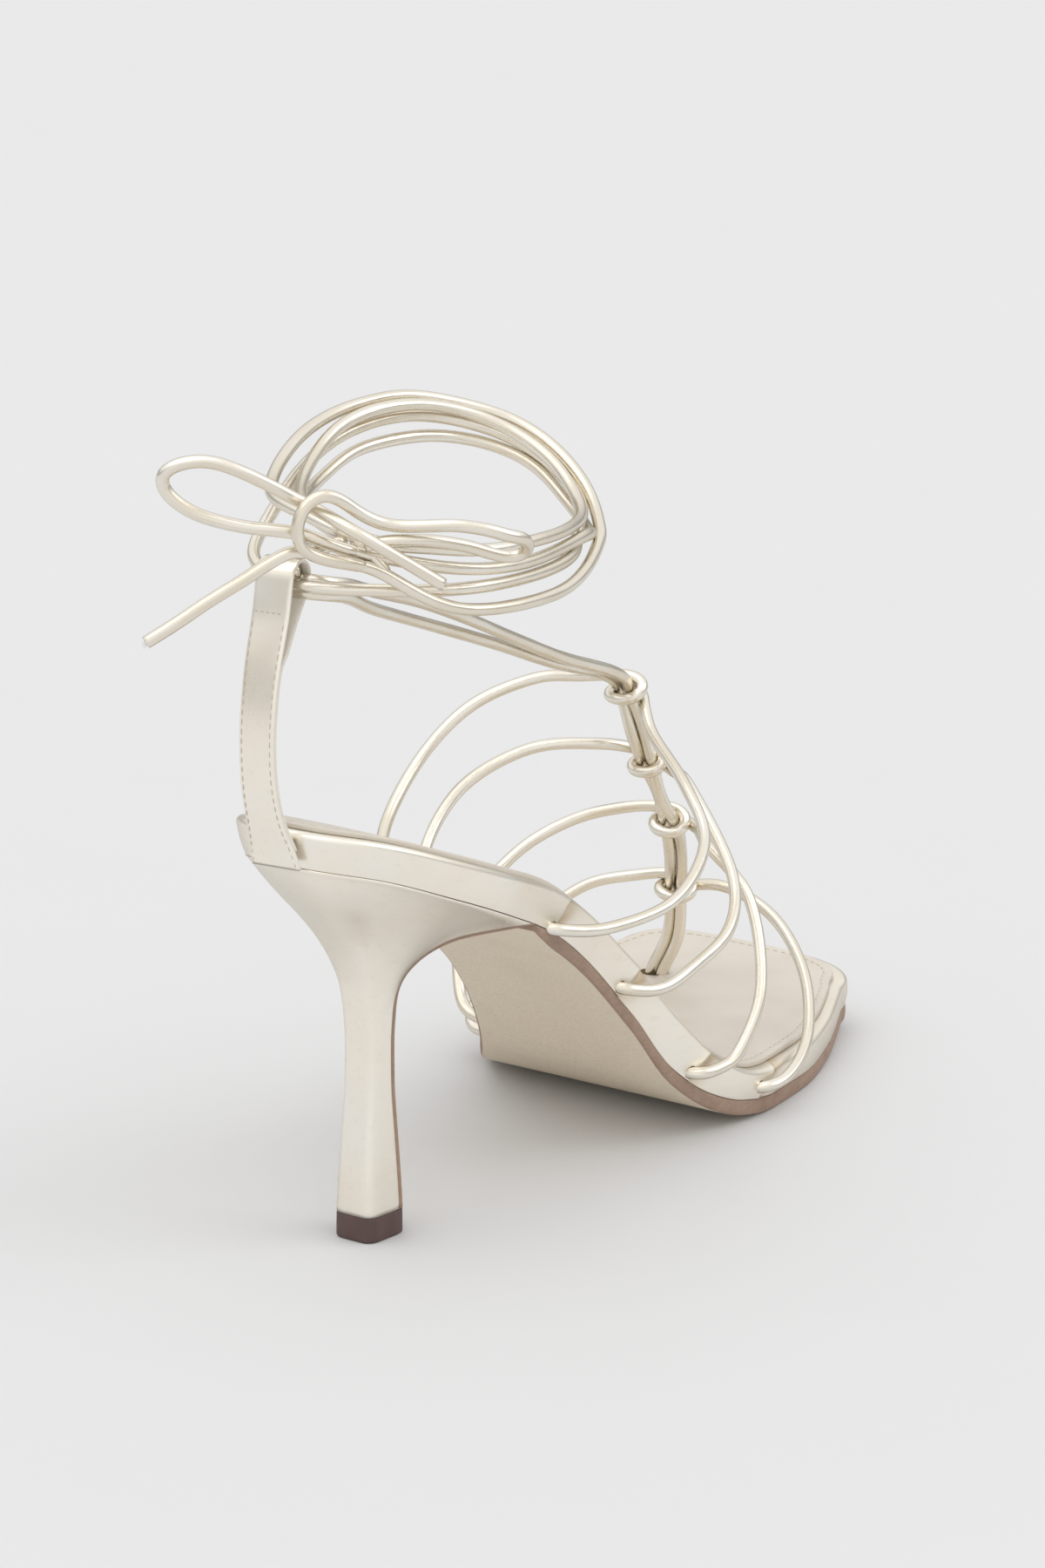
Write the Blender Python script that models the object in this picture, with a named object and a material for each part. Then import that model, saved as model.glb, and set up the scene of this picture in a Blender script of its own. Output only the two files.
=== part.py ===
"""Caged lace-up sandal with a stiletto heel, right shoe. Metres, +Z up, toe towards -Y.

The tables are in millimetres in the shoe's own sizes: along runs from the back of the seat to the
toe, across is positive towards the little-toe side, up is the height over the floor.
"""

import bmesh
import bpy
import numpy as np
from mathutils import Vector

MM = 0.001
ORIGIN_ALONG = 107.7  # the middle of the shoe's box, seat to toe
ORIGIN_ACROSS = 0.8

# Sole
LENGTH = 222.5
SEAT_SECTIONS = 12
MIDDLE_STEP = 6.0  # between the sections from the seat to the toe
TOE_SECTIONS = 9
SEAT = 50.0  # the seat is half an ellipse this long
SEAT_ACROSS = 5.0  # where the seat's back point lies
SEAT_POWER = 2.7  # how full the seat is on its big-toe side
SEAT_BACK = 1.2
TOE_ON = 205.0  # from here on the corners of the toe are rounded
TOE_POWER = 3.2
SKEW = 0.116  # how far the sole's cross lines lean back on the little-toe side
OUTSOLE = 3.7
SOLE_BEVEL = 0.8  # along the outsole's lower edge
GAP = 0.3
LAYER_GAP = 0.4  # upright, between pieces of the sole, which lie on a slope
INSOLE = 0.9
INSOLE_INSET = 1.6
RIM_ROUND = 1.6  # the rounding of the platform's upper edge
BROW = 0.35  # the share of that rounding left where its chords meet

# (along, little-toe edge, big-toe edge)
EDGES = (
    (50.0, 31.0, -17.5),
    (70.0, 29.9, -13.6),
    (90.0, 29.4, -12.3),
    (110.0, 31.8, -15.9),
    (130.0, 36.4, -26.8),
    (150.0, 38.9, -37.4),
    (170.0, 38.0, -41.5),
    (190.0, 33.8, -40.6),
    (210.0, 26.5, -36.0),
)
# (along, up) of the platform's underside
UNDERSIDE = (
    (-3.0, 89.6),
    (0.0, 88.7),
    (12.4, 85.3),
    (31.5, 77.9),
    (50.6, 70.0),
    (69.7, 61.4),
    (87.9, 49.2),
    (104.1, 33.9),
    (117.5, 18.7),
    (129.9, 10.2),
    (142.3, 5.6),
    (155.7, 3.7),
    (176.7, 3.7),
    (199.6, 5.2),
    (224.0, 7.7),
)
# (along, height of the platform's side, how far the side leans out at the top)
PLATFORM = (
    (0.0, 8.0, 1.8),
    (48.7, 8.9, 1.6),
    (92.6, 11.4, 0.9),
    (114.6, 13.1, 0.7),
    (132.7, 9.4, 0.5),
    (148.0, 6.7, 0.4),
    (224.0, 6.4, 0.4),
)

# Heel: (up, width, depth) of the shank, upwards from the rubber tip
TIP_ALONG = 31.2
TIP_ACROSS = 5.9
TIP_UP = 5.6
SHANK = (
    (0.0, 10.7, 12.4),
    (5.6, 10.6, 12.3),
    (12.0, 10.1, 11.8),
    (22.0, 9.3, 10.3),
    (34.0, 8.6, 8.4),
    (43.0, 8.7, 8.0),
    (50.0, 9.4, 8.5),
)
SHANK_POWER = 5  # 2 would be an ellipse
SHANK_TURN = 8.0  # degrees that its back faces towards the big-toe side
TIP_BEVEL = 0.5
NECK_UP = 50.0
BREAST = 62.0  # where the heel's wings end under the waist
BREAST_HOLLOW = 13.0
BACK_POINT = 14  # the seat's back among the points of the heel's ring
HOLLOW_POINTS = 9
HOLLOW_ROWS = 3  # the rows of that ring beside the hollow of the breast
SIDE_STATION = 30.0  # where the flare of the sides holds in full
# (share of the drop from seat to neck, share of the reach left at the back, side and front)
FLARE = (
    (0.0, 1.0, 1.0, 1.0),
    (0.1, 0.9, 0.8, 0.46),
    (0.25, 0.71, 0.57, 0.25),
    (0.4, 0.49, 0.38, 0.14),
    (0.55, 0.29, 0.23, 0.07),
    (0.7, 0.14, 0.12, 0.03),
    (0.85, 0.04, 0.04, 0.01),
)

# Heel strap: (along of the outer face, up)
STRAP_WIDTH = 9.0
STRAP_THICK = 1.8
STRAP_ACROSS = 3.7
STRAP_STEP = 5.0
LOOP_STEP = 2.6
STRAP = (
    (-2.0, 88.7),
    (-3.1, 92.0),
    (-5.0, 96.0),
    (-6.9, 100.5),
    (-8.7, 107.5),
    (-9.3, 116.0),
    (-8.6, 124.0),
    (-6.9, 132.0),
    (-4.3, 140.0),
    (-2.3, 147.0),
)
# the loop at its top, through which the ankle cords run: (along, up) of its middle line
STRAP_LOOP = (
    (-1.0, 142.6),
    (-1.5, 147.0),
    (-0.9, 151.6),
    (2.4, 153.5),
    (6.0, 151.6),
    (6.9, 147.6),
    (5.0, 144.3),
    (1.6, 142.0),
)

# Cords
CORD = 2.7
CORD_SIDES = 8
CORD_STEP = 6.0
BOW_STEP = 3.0
PATH_PARTS = 12  # the short steps between two points of a route
KNOT_REACH = (3.5, 2.3)  # from the middle of the spine to a knot's own middle line, across and out
KNOT_PARTS = 12
SPINE_APART = 2.9
# (along, across, up) of the knots down the instep, the last where the toe post enters the sole
SPINE = (
    (148.0, 1.5, 92.5),
    (153.6, 1.6, 82.0),
    (158.7, 1.5, 73.2),
    (165.0, 1.1, 64.2),
    (171.7, 0.3, 56.2),
    (181.2, -3.6, 46.0),
    (189.9, -8.1, 34.8),
    (192.9, -10.4, 22.5),
    (193.0, -14.6, 13.6),
    (192.9, -15.9, 8.9),
)
KNOTS = (0, 2, 4, 6)
# each rib from the big-toe side of the sole over its knot to the little-toe side
RIBS = {
    "rib_1": (
        (75.0, -7.5, 61.2),
        (76.5, -12.6, 60.6),
        (83.0, -22.5, 62.6),
        (98.5, -30.7, 69.3),
        (115.4, -31.7, 80.3),
        (125.3, -24.8, 90.6),
        (134.5, -13.9, 96.2),
        (144.0, -4.4, 94.8),
        (149.6, 1.5, 90.0),
        (145.5, 6.0, 91.4),
        (140.0, 15.0, 84.6),
        (129.5, 27.0, 78.4),
        (117.5, 38.6, 70.0),
        (98.5, 41.8, 62.2),
        (79.0, 37.0, 60.2),
        (66.0, 31.6, 63.4),
        (64.8, 25.3, 64.5),
    ),
    "rib_2": (
        (99.4, -7.8, 42.0),
        (100.4, -13.0, 41.4),
        (105.5, -22.6, 46.6),
        (115.4, -31.5, 56.8),
        (130.2, -30.7, 69.3),
        (142.1, -19.8, 77.4),
        (152.0, -6.0, 78.0),
        (159.6, 0.2, 71.6),
        (158.4, 4.4, 72.6),
        (151.0, 13.0, 74.4),
        (140.0, 33.2, 57.0),
        (127.0, 39.8, 48.2),
        (112.4, 38.4, 42.6),
        (102.5, 35.8, 41.0),
        (94.0, 31.6, 42.8),
        (93.4, 25.8, 43.9),
    ),
    "rib_3": (
        (119.8, -14.6, 20.6),
        (121.0, -22.0, 20.2),
        (124.8, -27.6, 24.4),
        (135.2, -32.7, 37.6),
        (153.0, -30.0, 48.5),
        (168.0, -21.4, 55.0),
        (173.6, -10.0, 57.2),
        (172.8, -1.4, 54.6),
        (168.6, 3.8, 58.0),
        (160.0, 8.6, 62.2),
        (153.0, 19.6, 58.4),
        (149.4, 32.7, 48.5),
        (139.6, 41.2, 31.7),
        (130.0, 41.2, 19.6),
        (124.4, 39.4, 17.0),
        (118.8, 36.6, 16.6),
        (118.6, 28.8, 17.2),
    ),
    "rib_4": (
        (145.8, -29.8, 8.0),
        (147.0, -37.0, 8.0),
        (151.6, -39.8, 11.2),
        (162.9, -40.2, 16.8),
        (176.8, -37.8, 25.8),
        (185.7, -29.7, 33.4),
        (190.0, -18.6, 36.4),
        (191.2, -9.2, 32.6),
        (189.6, -4.2, 36.2),
        (192.0, 3.6, 37.2),
        (189.2, 17.8, 31.9),
        (179.8, 30.7, 23.4),
        (165.9, 39.4, 14.4),
        (153.0, 42.2, 8.8),
        (144.0, 40.2, 7.2),
        (142.4, 32.2, 7.1),
    ),
}
POCKET = 6.4  # corner to corner of the square slit where a rib's end sits in the platform's side
POCKET_PAST = 5.0
SLOT = (5.2, 8.0, 9.0)  # where the toe post sits in the platform's top

# the two ties from the first knot to the strap's loop and the four turns round the ankle
LACES = {
    "tie_a": (
        (146.6, 4.7, 96.3),
        (138.9, 4.2, 98.9),
        (116.1, 4.4, 107.0),
        (95.9, 5.0, 115.2),
        (76.2, 5.8, 123.6),
        (60.8, 6.6, 129.8),
        (45.7, 7.4, 135.4),
        (27.2, 9.4, 141.2),
        (14.5, 12.0, 145.2),
        (6.6, 12.2, 147.2),
        (3.0, 9.0, 148.2),
        (2.7, 5.0, 148.4),
    ),
    "tie_b": (
        (146.6, -1.8, 96.3),
        (138.9, -0.6, 98.2),
        (117.6, 0.8, 105.2),
        (93.5, 1.9, 114.3),
        (70.0, 2.9, 122.8),
        (47.3, 4.0, 130.8),
        (28.8, 7.4, 137.2),
        (14.5, 10.9, 143.0),
        (6.6, 11.9, 145.8),
        (3.0, 9.0, 147.0),
        (2.8, 5.4, 147.4),
    ),
    "turn_through_loop": (
        (2.7, 7.0, 148.6),
        (2.6, 1.0, 148.6),
        (2.8, -3.6, 149.2),
        (6.0, -7.0, 151.2),
        (13.0, -8.8, 154.6),
        (22.8, -10.3, 159.3),
        (37.1, -13.6, 163.0),
        (53.4, -13.2, 167.2),
        (72.6, -8.1, 168.0),
        (84.4, 3.2, 164.2),
        (87.6, 14.6, 158.8),
        (83.2, 26.4, 152.0),
        (66.6, 36.4, 147.3),
        (51.4, 39.6, 145.6),
        (31.7, 38.6, 145.9),
        (16.3, 33.2, 146.7),
        (6.4, 22.4, 147.4),
        (3.0, 12.0, 147.4),
        (2.8, 5.8, 147.6),
    ),
    "turn_outer": (
        (0.8, 16.8, 160.2),
        (3.4, 6.2, 162.4),
        (9.4, -4.0, 163.0),
        (21.0, -10.6, 165.2),
        (34.4, -13.8, 169.0),
        (47.2, -14.8, 171.2),
        (58.9, -13.4, 172.2),
        (72.8, -9.0, 172.0),
        (86.6, 2.8, 167.2),
        (90.2, 12.1, 162.7),
        (88.4, 22.2, 156.4),
        (82.0, 30.6, 150.0),
        (66.8, 38.7, 144.4),
        (51.5, 41.9, 141.2),
        (34.6, 41.4, 141.2),
        (20.2, 37.4, 142.2),
        (12.2, 33.4, 144.8),
        (6.0, 28.6, 149.6),
        (2.4, 24.4, 153.4),
    ),
    "turn_inner": (
        (1.6, 18.6, 158.4),
        (11.0, 6.0, 158.8),
        (24.0, -6.0, 158.2),
        (38.0, -12.4, 158.2),
        (47.3, -12.8, 160.8),
        (56.3, -12.0, 163.2),
        (72.7, -6.9, 163.6),
        (82.2, -0.4, 161.9),
        (86.6, 6.5, 159.4),
        (87.4, 13.6, 156.4),
        (84.6, 23.0, 149.9),
        (78.0, 31.0, 147.2),
        (64.8, 37.2, 148.4),
        (40.4, 39.8, 148.8),
        (26.7, 37.6, 149.6),
        (16.2, 33.6, 151.4),
        (7.8, 28.4, 153.8),
        (2.4, 23.8, 155.6),
    ),
    "turn_upper": (
        (1.8, 18.4, 160.4),
        (5.4, 11.0, 160.6),
        (14.0, 0.6, 161.2),
        (26.6, -7.6, 162.4),
        (38.5, -11.4, 165.9),
        (47.5, -11.9, 169.3),
        (56.4, -11.0, 170.9),
        (64.4, -8.9, 171.3),
        (71.8, -5.6, 170.8),
        (79.0, -0.2, 168.6),
        (84.4, 7.0, 165.0),
        (86.0, 14.8, 160.6),
        (83.6, 21.6, 157.0),
        (78.4, 28.6, 152.6),
        (70.0, 34.2, 151.3),
        (60.5, 37.4, 151.7),
        (50.5, 39.6, 152.3),
        (40.4, 40.0, 153.0),
        (30.1, 38.6, 153.3),
        (21.0, 35.6, 154.3),
        (13.8, 31.8, 155.8),
        (8.0, 28.2, 156.9),
        (2.4, 24.4, 157.4),
    ),
}
# the bow: the cord that makes the knot's ring and the right loop, the cord that runs through the ring
# as the left loop and comes back over the knot as the right end, and the left end
BOW = {
    "bow_right": (
        (-0.8, 25.0, 154.2),
        (-4.7, 21.5, 155.2),
        (-7.9, 18.4, 156.3),
        (-10.5, 16.2, 158.5),
        (-11.6, 15.3, 161.2),
        (-11.5, 15.6, 164.8),
        (-10.0, 16.9, 167.9),
        (-7.5, 19.0, 169.3),
        (-4.7, 21.2, 168.0),
        (-1.7, 23.5, 165.2),
        (1.2, 26.2, 163.0),
        (4.0, 29.4, 162.0),
        (7.4, 33.5, 161.8),
        (12.0, 37.9, 161.5),
        (17.0, 42.1, 160.2),
        (21.8, 45.6, 157.9),
        (24.6, 47.4, 155.6),
        (22.4, 46.0, 154.0),
        (19.0, 43.0, 155.0),
        (14.7, 39.4, 156.9),
        (9.8, 35.1, 158.3),
        (5.2, 30.8, 158.9),
        (1.0, 26.8, 158.9),
    ),
    "bow_left": (
        (-0.8, 21.6, 156.4),
        (-3.0, 19.8, 157.5),
        (-6.0, 17.1, 159.5),
        (-8.1, 13.9, 160.9),
        (-11.3, 10.2, 161.8),
        (-15.6, 4.6, 162.8),
        (-19.9, -2.0, 164.9),
        (-22.9, -6.3, 168.0),
        (-24.4, -8.4, 171.4),
        (-24.8, -7.5, 174.3),
        (-23.2, -4.0, 176.2),
        (-20.4, 0.4, 176.4),
        (-16.8, 5.3, 174.3),
        (-11.8, 10.4, 170.5),
        (-8.8, 12.7, 168.2),
        (-6.6, 15.0, 166.5),
        (-6.0, 18.6, 164.9),
        (-5.7, 23.5, 162.8),
        (-4.3, 26.7, 160.9),
        (-1.5, 29.9, 158.1),
        (2.7, 34.0, 154.3),
        (6.8, 38.1, 150.5),
    ),
    "bow_end": (
        (-6.3, 14.4, 156.7),
        (-8.8, 11.9, 157.0),
        (-12.2, 8.7, 154.9),
        (-15.9, 4.8, 151.6),
        (-19.9, -0.9, 147.3),
        (-23.5, -5.8, 143.2),
        (-26.9, -10.9, 139.3),
    ),
}

GOLD = (0.62, 0.56, 0.44)
SOCK = (0.72, 0.66, 0.56)
UNDER = (0.46, 0.38, 0.27)
RUBBER = (0.10, 0.06, 0.05)


def clear_scene():
    for item in list(bpy.data.objects):
        bpy.data.objects.remove(item, do_unlink=True)


def place(point):
    along, across, up = point
    return Vector(((ORIGIN_ACROSS - across) * MM, (ORIGIN_ALONG - along) * MM, up * MM))


def material(name, colour, metallic, roughness):
    made = bpy.data.materials.new(name)
    made.use_nodes = True
    shader = made.node_tree.nodes["Principled BSDF"]
    shader.inputs["Base Color"].default_value = (*colour, 1.0)
    shader.inputs["Metallic"].default_value = metallic
    shader.inputs["Roughness"].default_value = roughness
    return made


def curve_through(rows, at):
    """Smooth values at each place of at, through a table's rows, without overshoot."""
    rows = np.array(rows, float)
    x, y = rows[:, 0], rows[:, 1:]
    step = np.diff(x)[:, None]
    slope = np.diff(y, axis=0) / step
    turn = slope[1:] * slope[:-1]
    middle = np.where(turn > 0, 2 * turn / np.where(turn > 0, slope[1:] + slope[:-1], 1), 0)
    tangent = np.vstack((slope[:1], middle, slope[-1:]))
    at = np.clip(np.atleast_1d(np.asarray(at, float)), x[0], x[-1])
    row = np.clip(np.searchsorted(x, at, side="right") - 1, 0, len(x) - 2)
    u = ((at - x[row]) / (x[row + 1] - x[row]))[:, None]
    span = step[row]
    return (
        (1 + 2 * u) * (1 - u) ** 2 * y[row]
        + u * (1 - u) ** 2 * span * tangent[row]
        + u * u * (3 - 2 * u) * y[row + 1]
        + u * u * (u - 1) * span * tangent[row + 1]
    )


def underside(along):
    return float(curve_through(UNDERSIDE, along)[0, 0])


def platform(along):
    """(height of the platform's side, its lean)"""
    return curve_through(PLATFORM, along)[0]


def rim(station, grow=0.0):
    """(along, little-toe edge, big-toe edge) of the outline at a station, grown past its ends and sides."""
    little, big = curve_through(EDGES, station)[0]
    centre = (little + big) / 2
    half = (little - big) / 2 + grow
    big_half = half
    along = station
    if station < SEAT:
        share = (SEAT - station) / SEAT
        along = SEAT - share * (SEAT - SEAT_BACK + grow)
        half *= np.sqrt(1 - share**2)
        big_half *= (1 - share**SEAT_POWER) ** (1 / SEAT_POWER)
        centre += (SEAT_ACROSS - centre) * share
    if station > TOE_ON:
        share = (station - TOE_ON) / (LENGTH - TOE_ON)
        along = TOE_ON + share * (LENGTH - TOE_ON + grow)
        narrow = (1 - share**TOE_POWER) ** (1 / TOE_POWER)
        half *= narrow
        big_half *= narrow
    return along, centre + half, centre - big_half


def stations(start=0.0):
    """The places along the sole where its pieces have a section, so that they lie against one another."""
    seat = SEAT * (1 - np.cos(np.radians(np.linspace(6, 90, SEAT_SECTIONS))))
    middle = np.arange(SEAT + MIDDLE_STEP, TOE_ON - MIDDLE_STEP / 2, MIDDLE_STEP)
    toe = TOE_ON + (LENGTH - TOE_ON) * np.sin(np.radians(np.linspace(0, 86, TOE_SECTIONS)))
    return [station for station in np.concatenate((seat, middle, toe)) if station >= start]


def on_line(along, across, up):
    """A point on the cross line that meets the middle of the shoe at along."""
    return (along - SKEW * across, across, up)


def mesh_object(name, points, faces, paint=None, hidden=False, smooth=True):
    mesh = bpy.data.meshes.new(name)
    mesh.from_pydata([place(point) for point in points], [], faces)
    mesh.update()
    shape = bmesh.new()
    shape.from_mesh(mesh)
    bmesh.ops.recalc_face_normals(shape, faces=shape.faces)
    if shape.calc_volume(signed=True) < 0:
        bmesh.ops.reverse_faces(shape, faces=shape.faces)
    shape.to_mesh(mesh)
    shape.free()
    made = bpy.data.objects.new(name, mesh)
    bpy.context.scene.collection.objects.link(made)
    if paint:
        mesh.materials.append(paint)
    if smooth:
        for face in mesh.polygons:
            face.use_smooth = True
    if hidden:
        made.hide_render = True
        made.display_type = "WIRE"
    return made


def loft(sections, closed=False):
    """(points, faces) of a skin over sections with the same number of points, with both ends filled."""
    count = len(sections[0])
    points = [point for section in sections for point in section]
    faces = []
    for row in range(len(sections) - (0 if closed else 1)):
        here = row * count
        there = (row + 1) % len(sections) * count
        for k in range(count):
            after = (k + 1) % count
            faces.append((here + k, here + after, there + after, there + k))
    if not closed:
        faces.append(tuple(range(count)))
        faces.append(tuple(range(len(points) - count, len(points))))
    return points, faces


def smooth_path(route, step):
    """Points step apart on a smooth curve through the route."""
    route = np.array(route, float)
    ends = np.vstack((2 * route[0] - route[1], route, 2 * route[-1] - route[-2]))
    fine = []
    for k in range(1, len(ends) - 2):
        before, start, end, after = ends[k - 1 : k + 3]
        for u in np.linspace(0, 1, PATH_PARTS, endpoint=False):
            fine.append(
                start
                + 0.5 * u * (end - before)
                + u * u * (before - 2.5 * start + 2 * end - 0.5 * after)
                + u**3 * (-0.5 * before + 1.5 * start - 1.5 * end + 0.5 * after)
            )
    fine = np.vstack((fine, route[-1:]))
    far = np.concatenate(([0], np.cumsum(np.linalg.norm(np.diff(fine, axis=0), axis=1))))
    even = np.linspace(0, far[-1], max(3, round(far[-1] / step) + 1))
    return np.column_stack([np.interp(even, far, fine[:, axis]) for axis in range(3)])


def tube_sections(path, width, sides):
    """Rings round a path, carried along it without twist."""
    path = np.array(path, float)
    ahead = np.gradient(path, axis=0)
    ahead /= np.linalg.norm(ahead, axis=1)[:, None]
    side = np.cross(ahead[0], (0.31, 0.17, 0.93))
    angles = np.arange(sides) * 2 * np.pi / sides
    rings = []
    for point, forward in zip(path, ahead):
        side = side - forward * side.dot(forward)
        side /= np.linalg.norm(side)
        other = np.cross(forward, side)
        ring = [point + width / 2 * (side * np.cos(a) + other * np.sin(a)) for a in angles]
        rings.append(ring)
    return rings


def joined(name, pieces, paint):
    """One solid from overlapping (points, faces) shapes."""
    whole = mesh_object(name, *pieces[0], paint)
    others = bpy.data.collections.new(name + "_pieces")
    bpy.context.scene.collection.children.link(others)
    others.hide_render = True
    for k, piece in enumerate(pieces[1:]):
        extra = mesh_object(f"{name}_piece_{k}", *piece, hidden=True)
        bpy.context.scene.collection.objects.unlink(extra)
        others.objects.link(extra)
    union = whole.modifiers.new("join", "BOOLEAN")
    union.operation = "UNION"
    union.solver = "EXACT"
    union.operand_type = "COLLECTION"
    union.collection = others
    return whole


def cut(target, tools):
    """Takes the (points, faces) tools, which stand clear of one another, out of the target."""
    points = []
    faces = []
    for tool_points, tool_faces in tools:
        start = len(points)
        points += tool_points
        faces += [tuple(start + k for k in face) for face in tool_faces]
    tool = mesh_object(target.name + "_cutter", points, faces, hidden=True)
    take = target.modifiers.new("pockets", "BOOLEAN")
    take.operation = "DIFFERENCE"
    take.solver = "EXACT"
    take.object = tool


def box(centre, size):
    along, across, up = centre
    corners = []
    for z in (-0.5, 0.5):
        for x, y in ((-0.5, -0.5), (0.5, -0.5), (0.5, 0.5), (-0.5, 0.5)):
            corners.append((along + x * size[0], across + y * size[1], up + z * size[2]))
    return loft([corners[:4], corners[4:]])


def build_footbed(paint):
    sections = []
    for station in stations():
        along, little, big = rim(station)
        height, lean = platform(station)
        wide, little_out, big_out = rim(station, lean)
        brow, little_brow, big_brow = rim(station, lean - BROW * RIM_ROUND)
        crown, little_in, big_in = rim(station, lean - RIM_ROUND)
        low = underside(along)
        sections.append(
            [
                on_line(along, big, low),
                on_line(along, little, low),
                on_line(wide, little_out, underside(wide) + height - RIM_ROUND),
                on_line(brow, little_brow, underside(brow) + height - BROW * RIM_ROUND),
                on_line(crown, little_in, underside(crown) + height),
                on_line(crown, big_in, underside(crown) + height),
                on_line(brow, big_brow, underside(brow) + height - BROW * RIM_ROUND),
                on_line(wide, big_out, underside(wide) + height - RIM_ROUND),
            ]
        )
    return mesh_object("footbed", *loft(sections), paint, smooth=False)


def build_insole(paint):
    sections = []
    for station in stations():
        height, lean = platform(station)
        along, little, big = rim(station, lean - RIM_ROUND - INSOLE_INSET)
        low = underside(along) + height + LAYER_GAP
        sections.append(
            [
                on_line(along, big, low),
                on_line(along, little, low),
                on_line(along, little, low + INSOLE),
                on_line(along, big, low + INSOLE),
            ]
        )
    return mesh_object("insole", *loft(sections), paint, smooth=False)


def build_outsole(paint):
    sections = []
    for station in [BREAST + LAYER_GAP] + stations(BREAST + 1):
        along, little, big = rim(station)
        inner, little_in, big_in = rim(station, -SOLE_BEVEL)
        sections.append(
            [
                on_line(inner, big_in, underside(inner) - OUTSOLE),
                on_line(inner, little_in, underside(inner) - OUTSOLE),
                on_line(along, little, underside(along) - OUTSOLE + SOLE_BEVEL),
                on_line(along, little, underside(along) - LAYER_GAP),
                on_line(along, big, underside(along) - LAYER_GAP),
                on_line(along, big, underside(along) - OUTSOLE + SOLE_BEVEL),
            ]
        )
    return mesh_object("outsole", *loft(sections), paint, smooth=False)


def shank_ring(up, width, depth):
    """A rounded rectangle about the heel's axis, from the big-toe side's front corner round the back."""
    turn = np.radians(SHANK_TURN)
    back = np.linspace(-0.22, 1.22, 2 * BACK_POINT + 1)
    front = np.linspace(1.3, 1.7, HOLLOW_POINTS)
    ring = []
    for angle in np.pi * np.concatenate((back, front)):
        x, y = np.cos(angle), np.sin(angle)
        reach = (abs(x) ** SHANK_POWER + abs(y) ** SHANK_POWER) ** (-1 / SHANK_POWER)
        ahead = -y * reach * depth / 2
        aside = -x * reach * width / 2
        along = TIP_ALONG + ahead * np.cos(turn) - aside * np.sin(turn)
        across = TIP_ACROSS + ahead * np.sin(turn) + aside * np.cos(turn)
        ring.append((along, across, up))
    return ring


def heel_top():
    """The ring under the seat with each point's station: from wing to wing round the back, then across."""
    seat = [station for station in stations() if station <= BREAST]
    ring = []
    for station in seat[::-1]:
        along, little, big = rim(station, -GAP)
        ring.append((*on_line(along, big, underside(along) - LAYER_GAP), station))
    along = rim(0.0, -GAP)[0]
    ring.append((*on_line(along, SEAT_ACROSS, underside(along) - LAYER_GAP), 0.0))
    for station in seat:
        along, little, big = rim(station, -GAP)
        ring.append((*on_line(along, little, underside(along) - LAYER_GAP), station))
    first, last = np.array(ring[-1]), np.array(ring[0])
    for share in np.linspace(0, 1, HOLLOW_POINTS + 2)[1:-1]:
        across = first[1] + (last[1] - first[1]) * share
        along = BREAST - BREAST_HOLLOW * np.sin(np.pi * share)
        ring.append((*on_line(along, across, underside(along) - LAYER_GAP), BREAST))
    return ring


def build_heel(paint):
    top = heel_top()
    neck = shank_ring(*SHANK[-1])
    sections = []
    for share, back, side, front in FLARE:
        ring = []
        for upper, lower in zip(top, neck):
            station = upper[3]
            reach = np.interp(station, (0.0, SIDE_STATION, BREAST), (back, side, front))
            along = lower[0] + (upper[0] - lower[0]) * reach
            across = lower[1] + (upper[1] - lower[1]) * reach
            ring.append((along, across, upper[2] - share * (upper[2] - NECK_UP)))
        sections.append(ring)
    for up, width, depth in SHANK[:1:-1]:
        sections.append(shank_ring(up, width, depth))
    sections.append(shank_ring(TIP_UP + GAP, *SHANK[1][1:]))
    points, faces = loft(sections)
    back = BACK_POINT
    last = 2 * back
    hidden = HOLLOW_ROWS
    ruled = [(k, k + 1, last - k - 1, last - k) for k in range(hidden, back - 1)]
    front = list(range(hidden, -1, -1)) + list(range(len(top) - 1, last - hidden - 1, -1))
    faces[-2:] = ruled + [(back - 1, back, back + 1), tuple(front), faces[-1]]
    return mesh_object("heel", points, faces, paint)


def build_heel_tip(paint):
    sections = [
        shank_ring(0.0, SHANK[0][1] - 2 * TIP_BEVEL, SHANK[0][2] - 2 * TIP_BEVEL),
        shank_ring(TIP_BEVEL, *SHANK[0][1:]),
        shank_ring(TIP_UP, *SHANK[1][1:]),
    ]
    return mesh_object("heel_tip", *loft(sections), paint, smooth=False)


def strap_shape(path, closed=False):
    """(points, faces) of a flat band whose middle line lies in the shoe's long plane."""
    path = np.array(path, float)
    if closed:
        ahead = np.roll(path, -1, axis=0) - np.roll(path, 1, axis=0)
    else:
        ahead = np.gradient(path, axis=0)
    ahead /= np.linalg.norm(ahead, axis=1)[:, None]
    sections = []
    for (along, up), (run, rise) in zip(path, ahead):
        corners = []
        for face, edge in ((1, 1), (1, -1), (-1, -1), (-1, 1)):
            off = face * STRAP_THICK / 2
            across = STRAP_ACROSS + edge * STRAP_WIDTH / 2
            corners.append((along - rise * off, across, up + run * off))
        sections.append(corners)
    return loft(sections, closed)


def build_heel_strap(paint):
    path = [(along + STRAP_THICK / 2, 0.0, up) for along, up in STRAP]
    body = smooth_path(path, STRAP_STEP)[:, (0, 2)]
    ring = [(along, 0.0, up) for along, up in STRAP_LOOP + STRAP_LOOP[:1]]
    loop = smooth_path(ring, LOOP_STEP)[:-1, (0, 2)]
    return joined("heel_strap", [strap_shape(body), strap_shape(loop, closed=True)], paint)


def cord_shape(route, step=CORD_STEP, width=CORD):
    return loft(tube_sections(smooth_path(route, step), width, CORD_SIDES))


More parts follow.
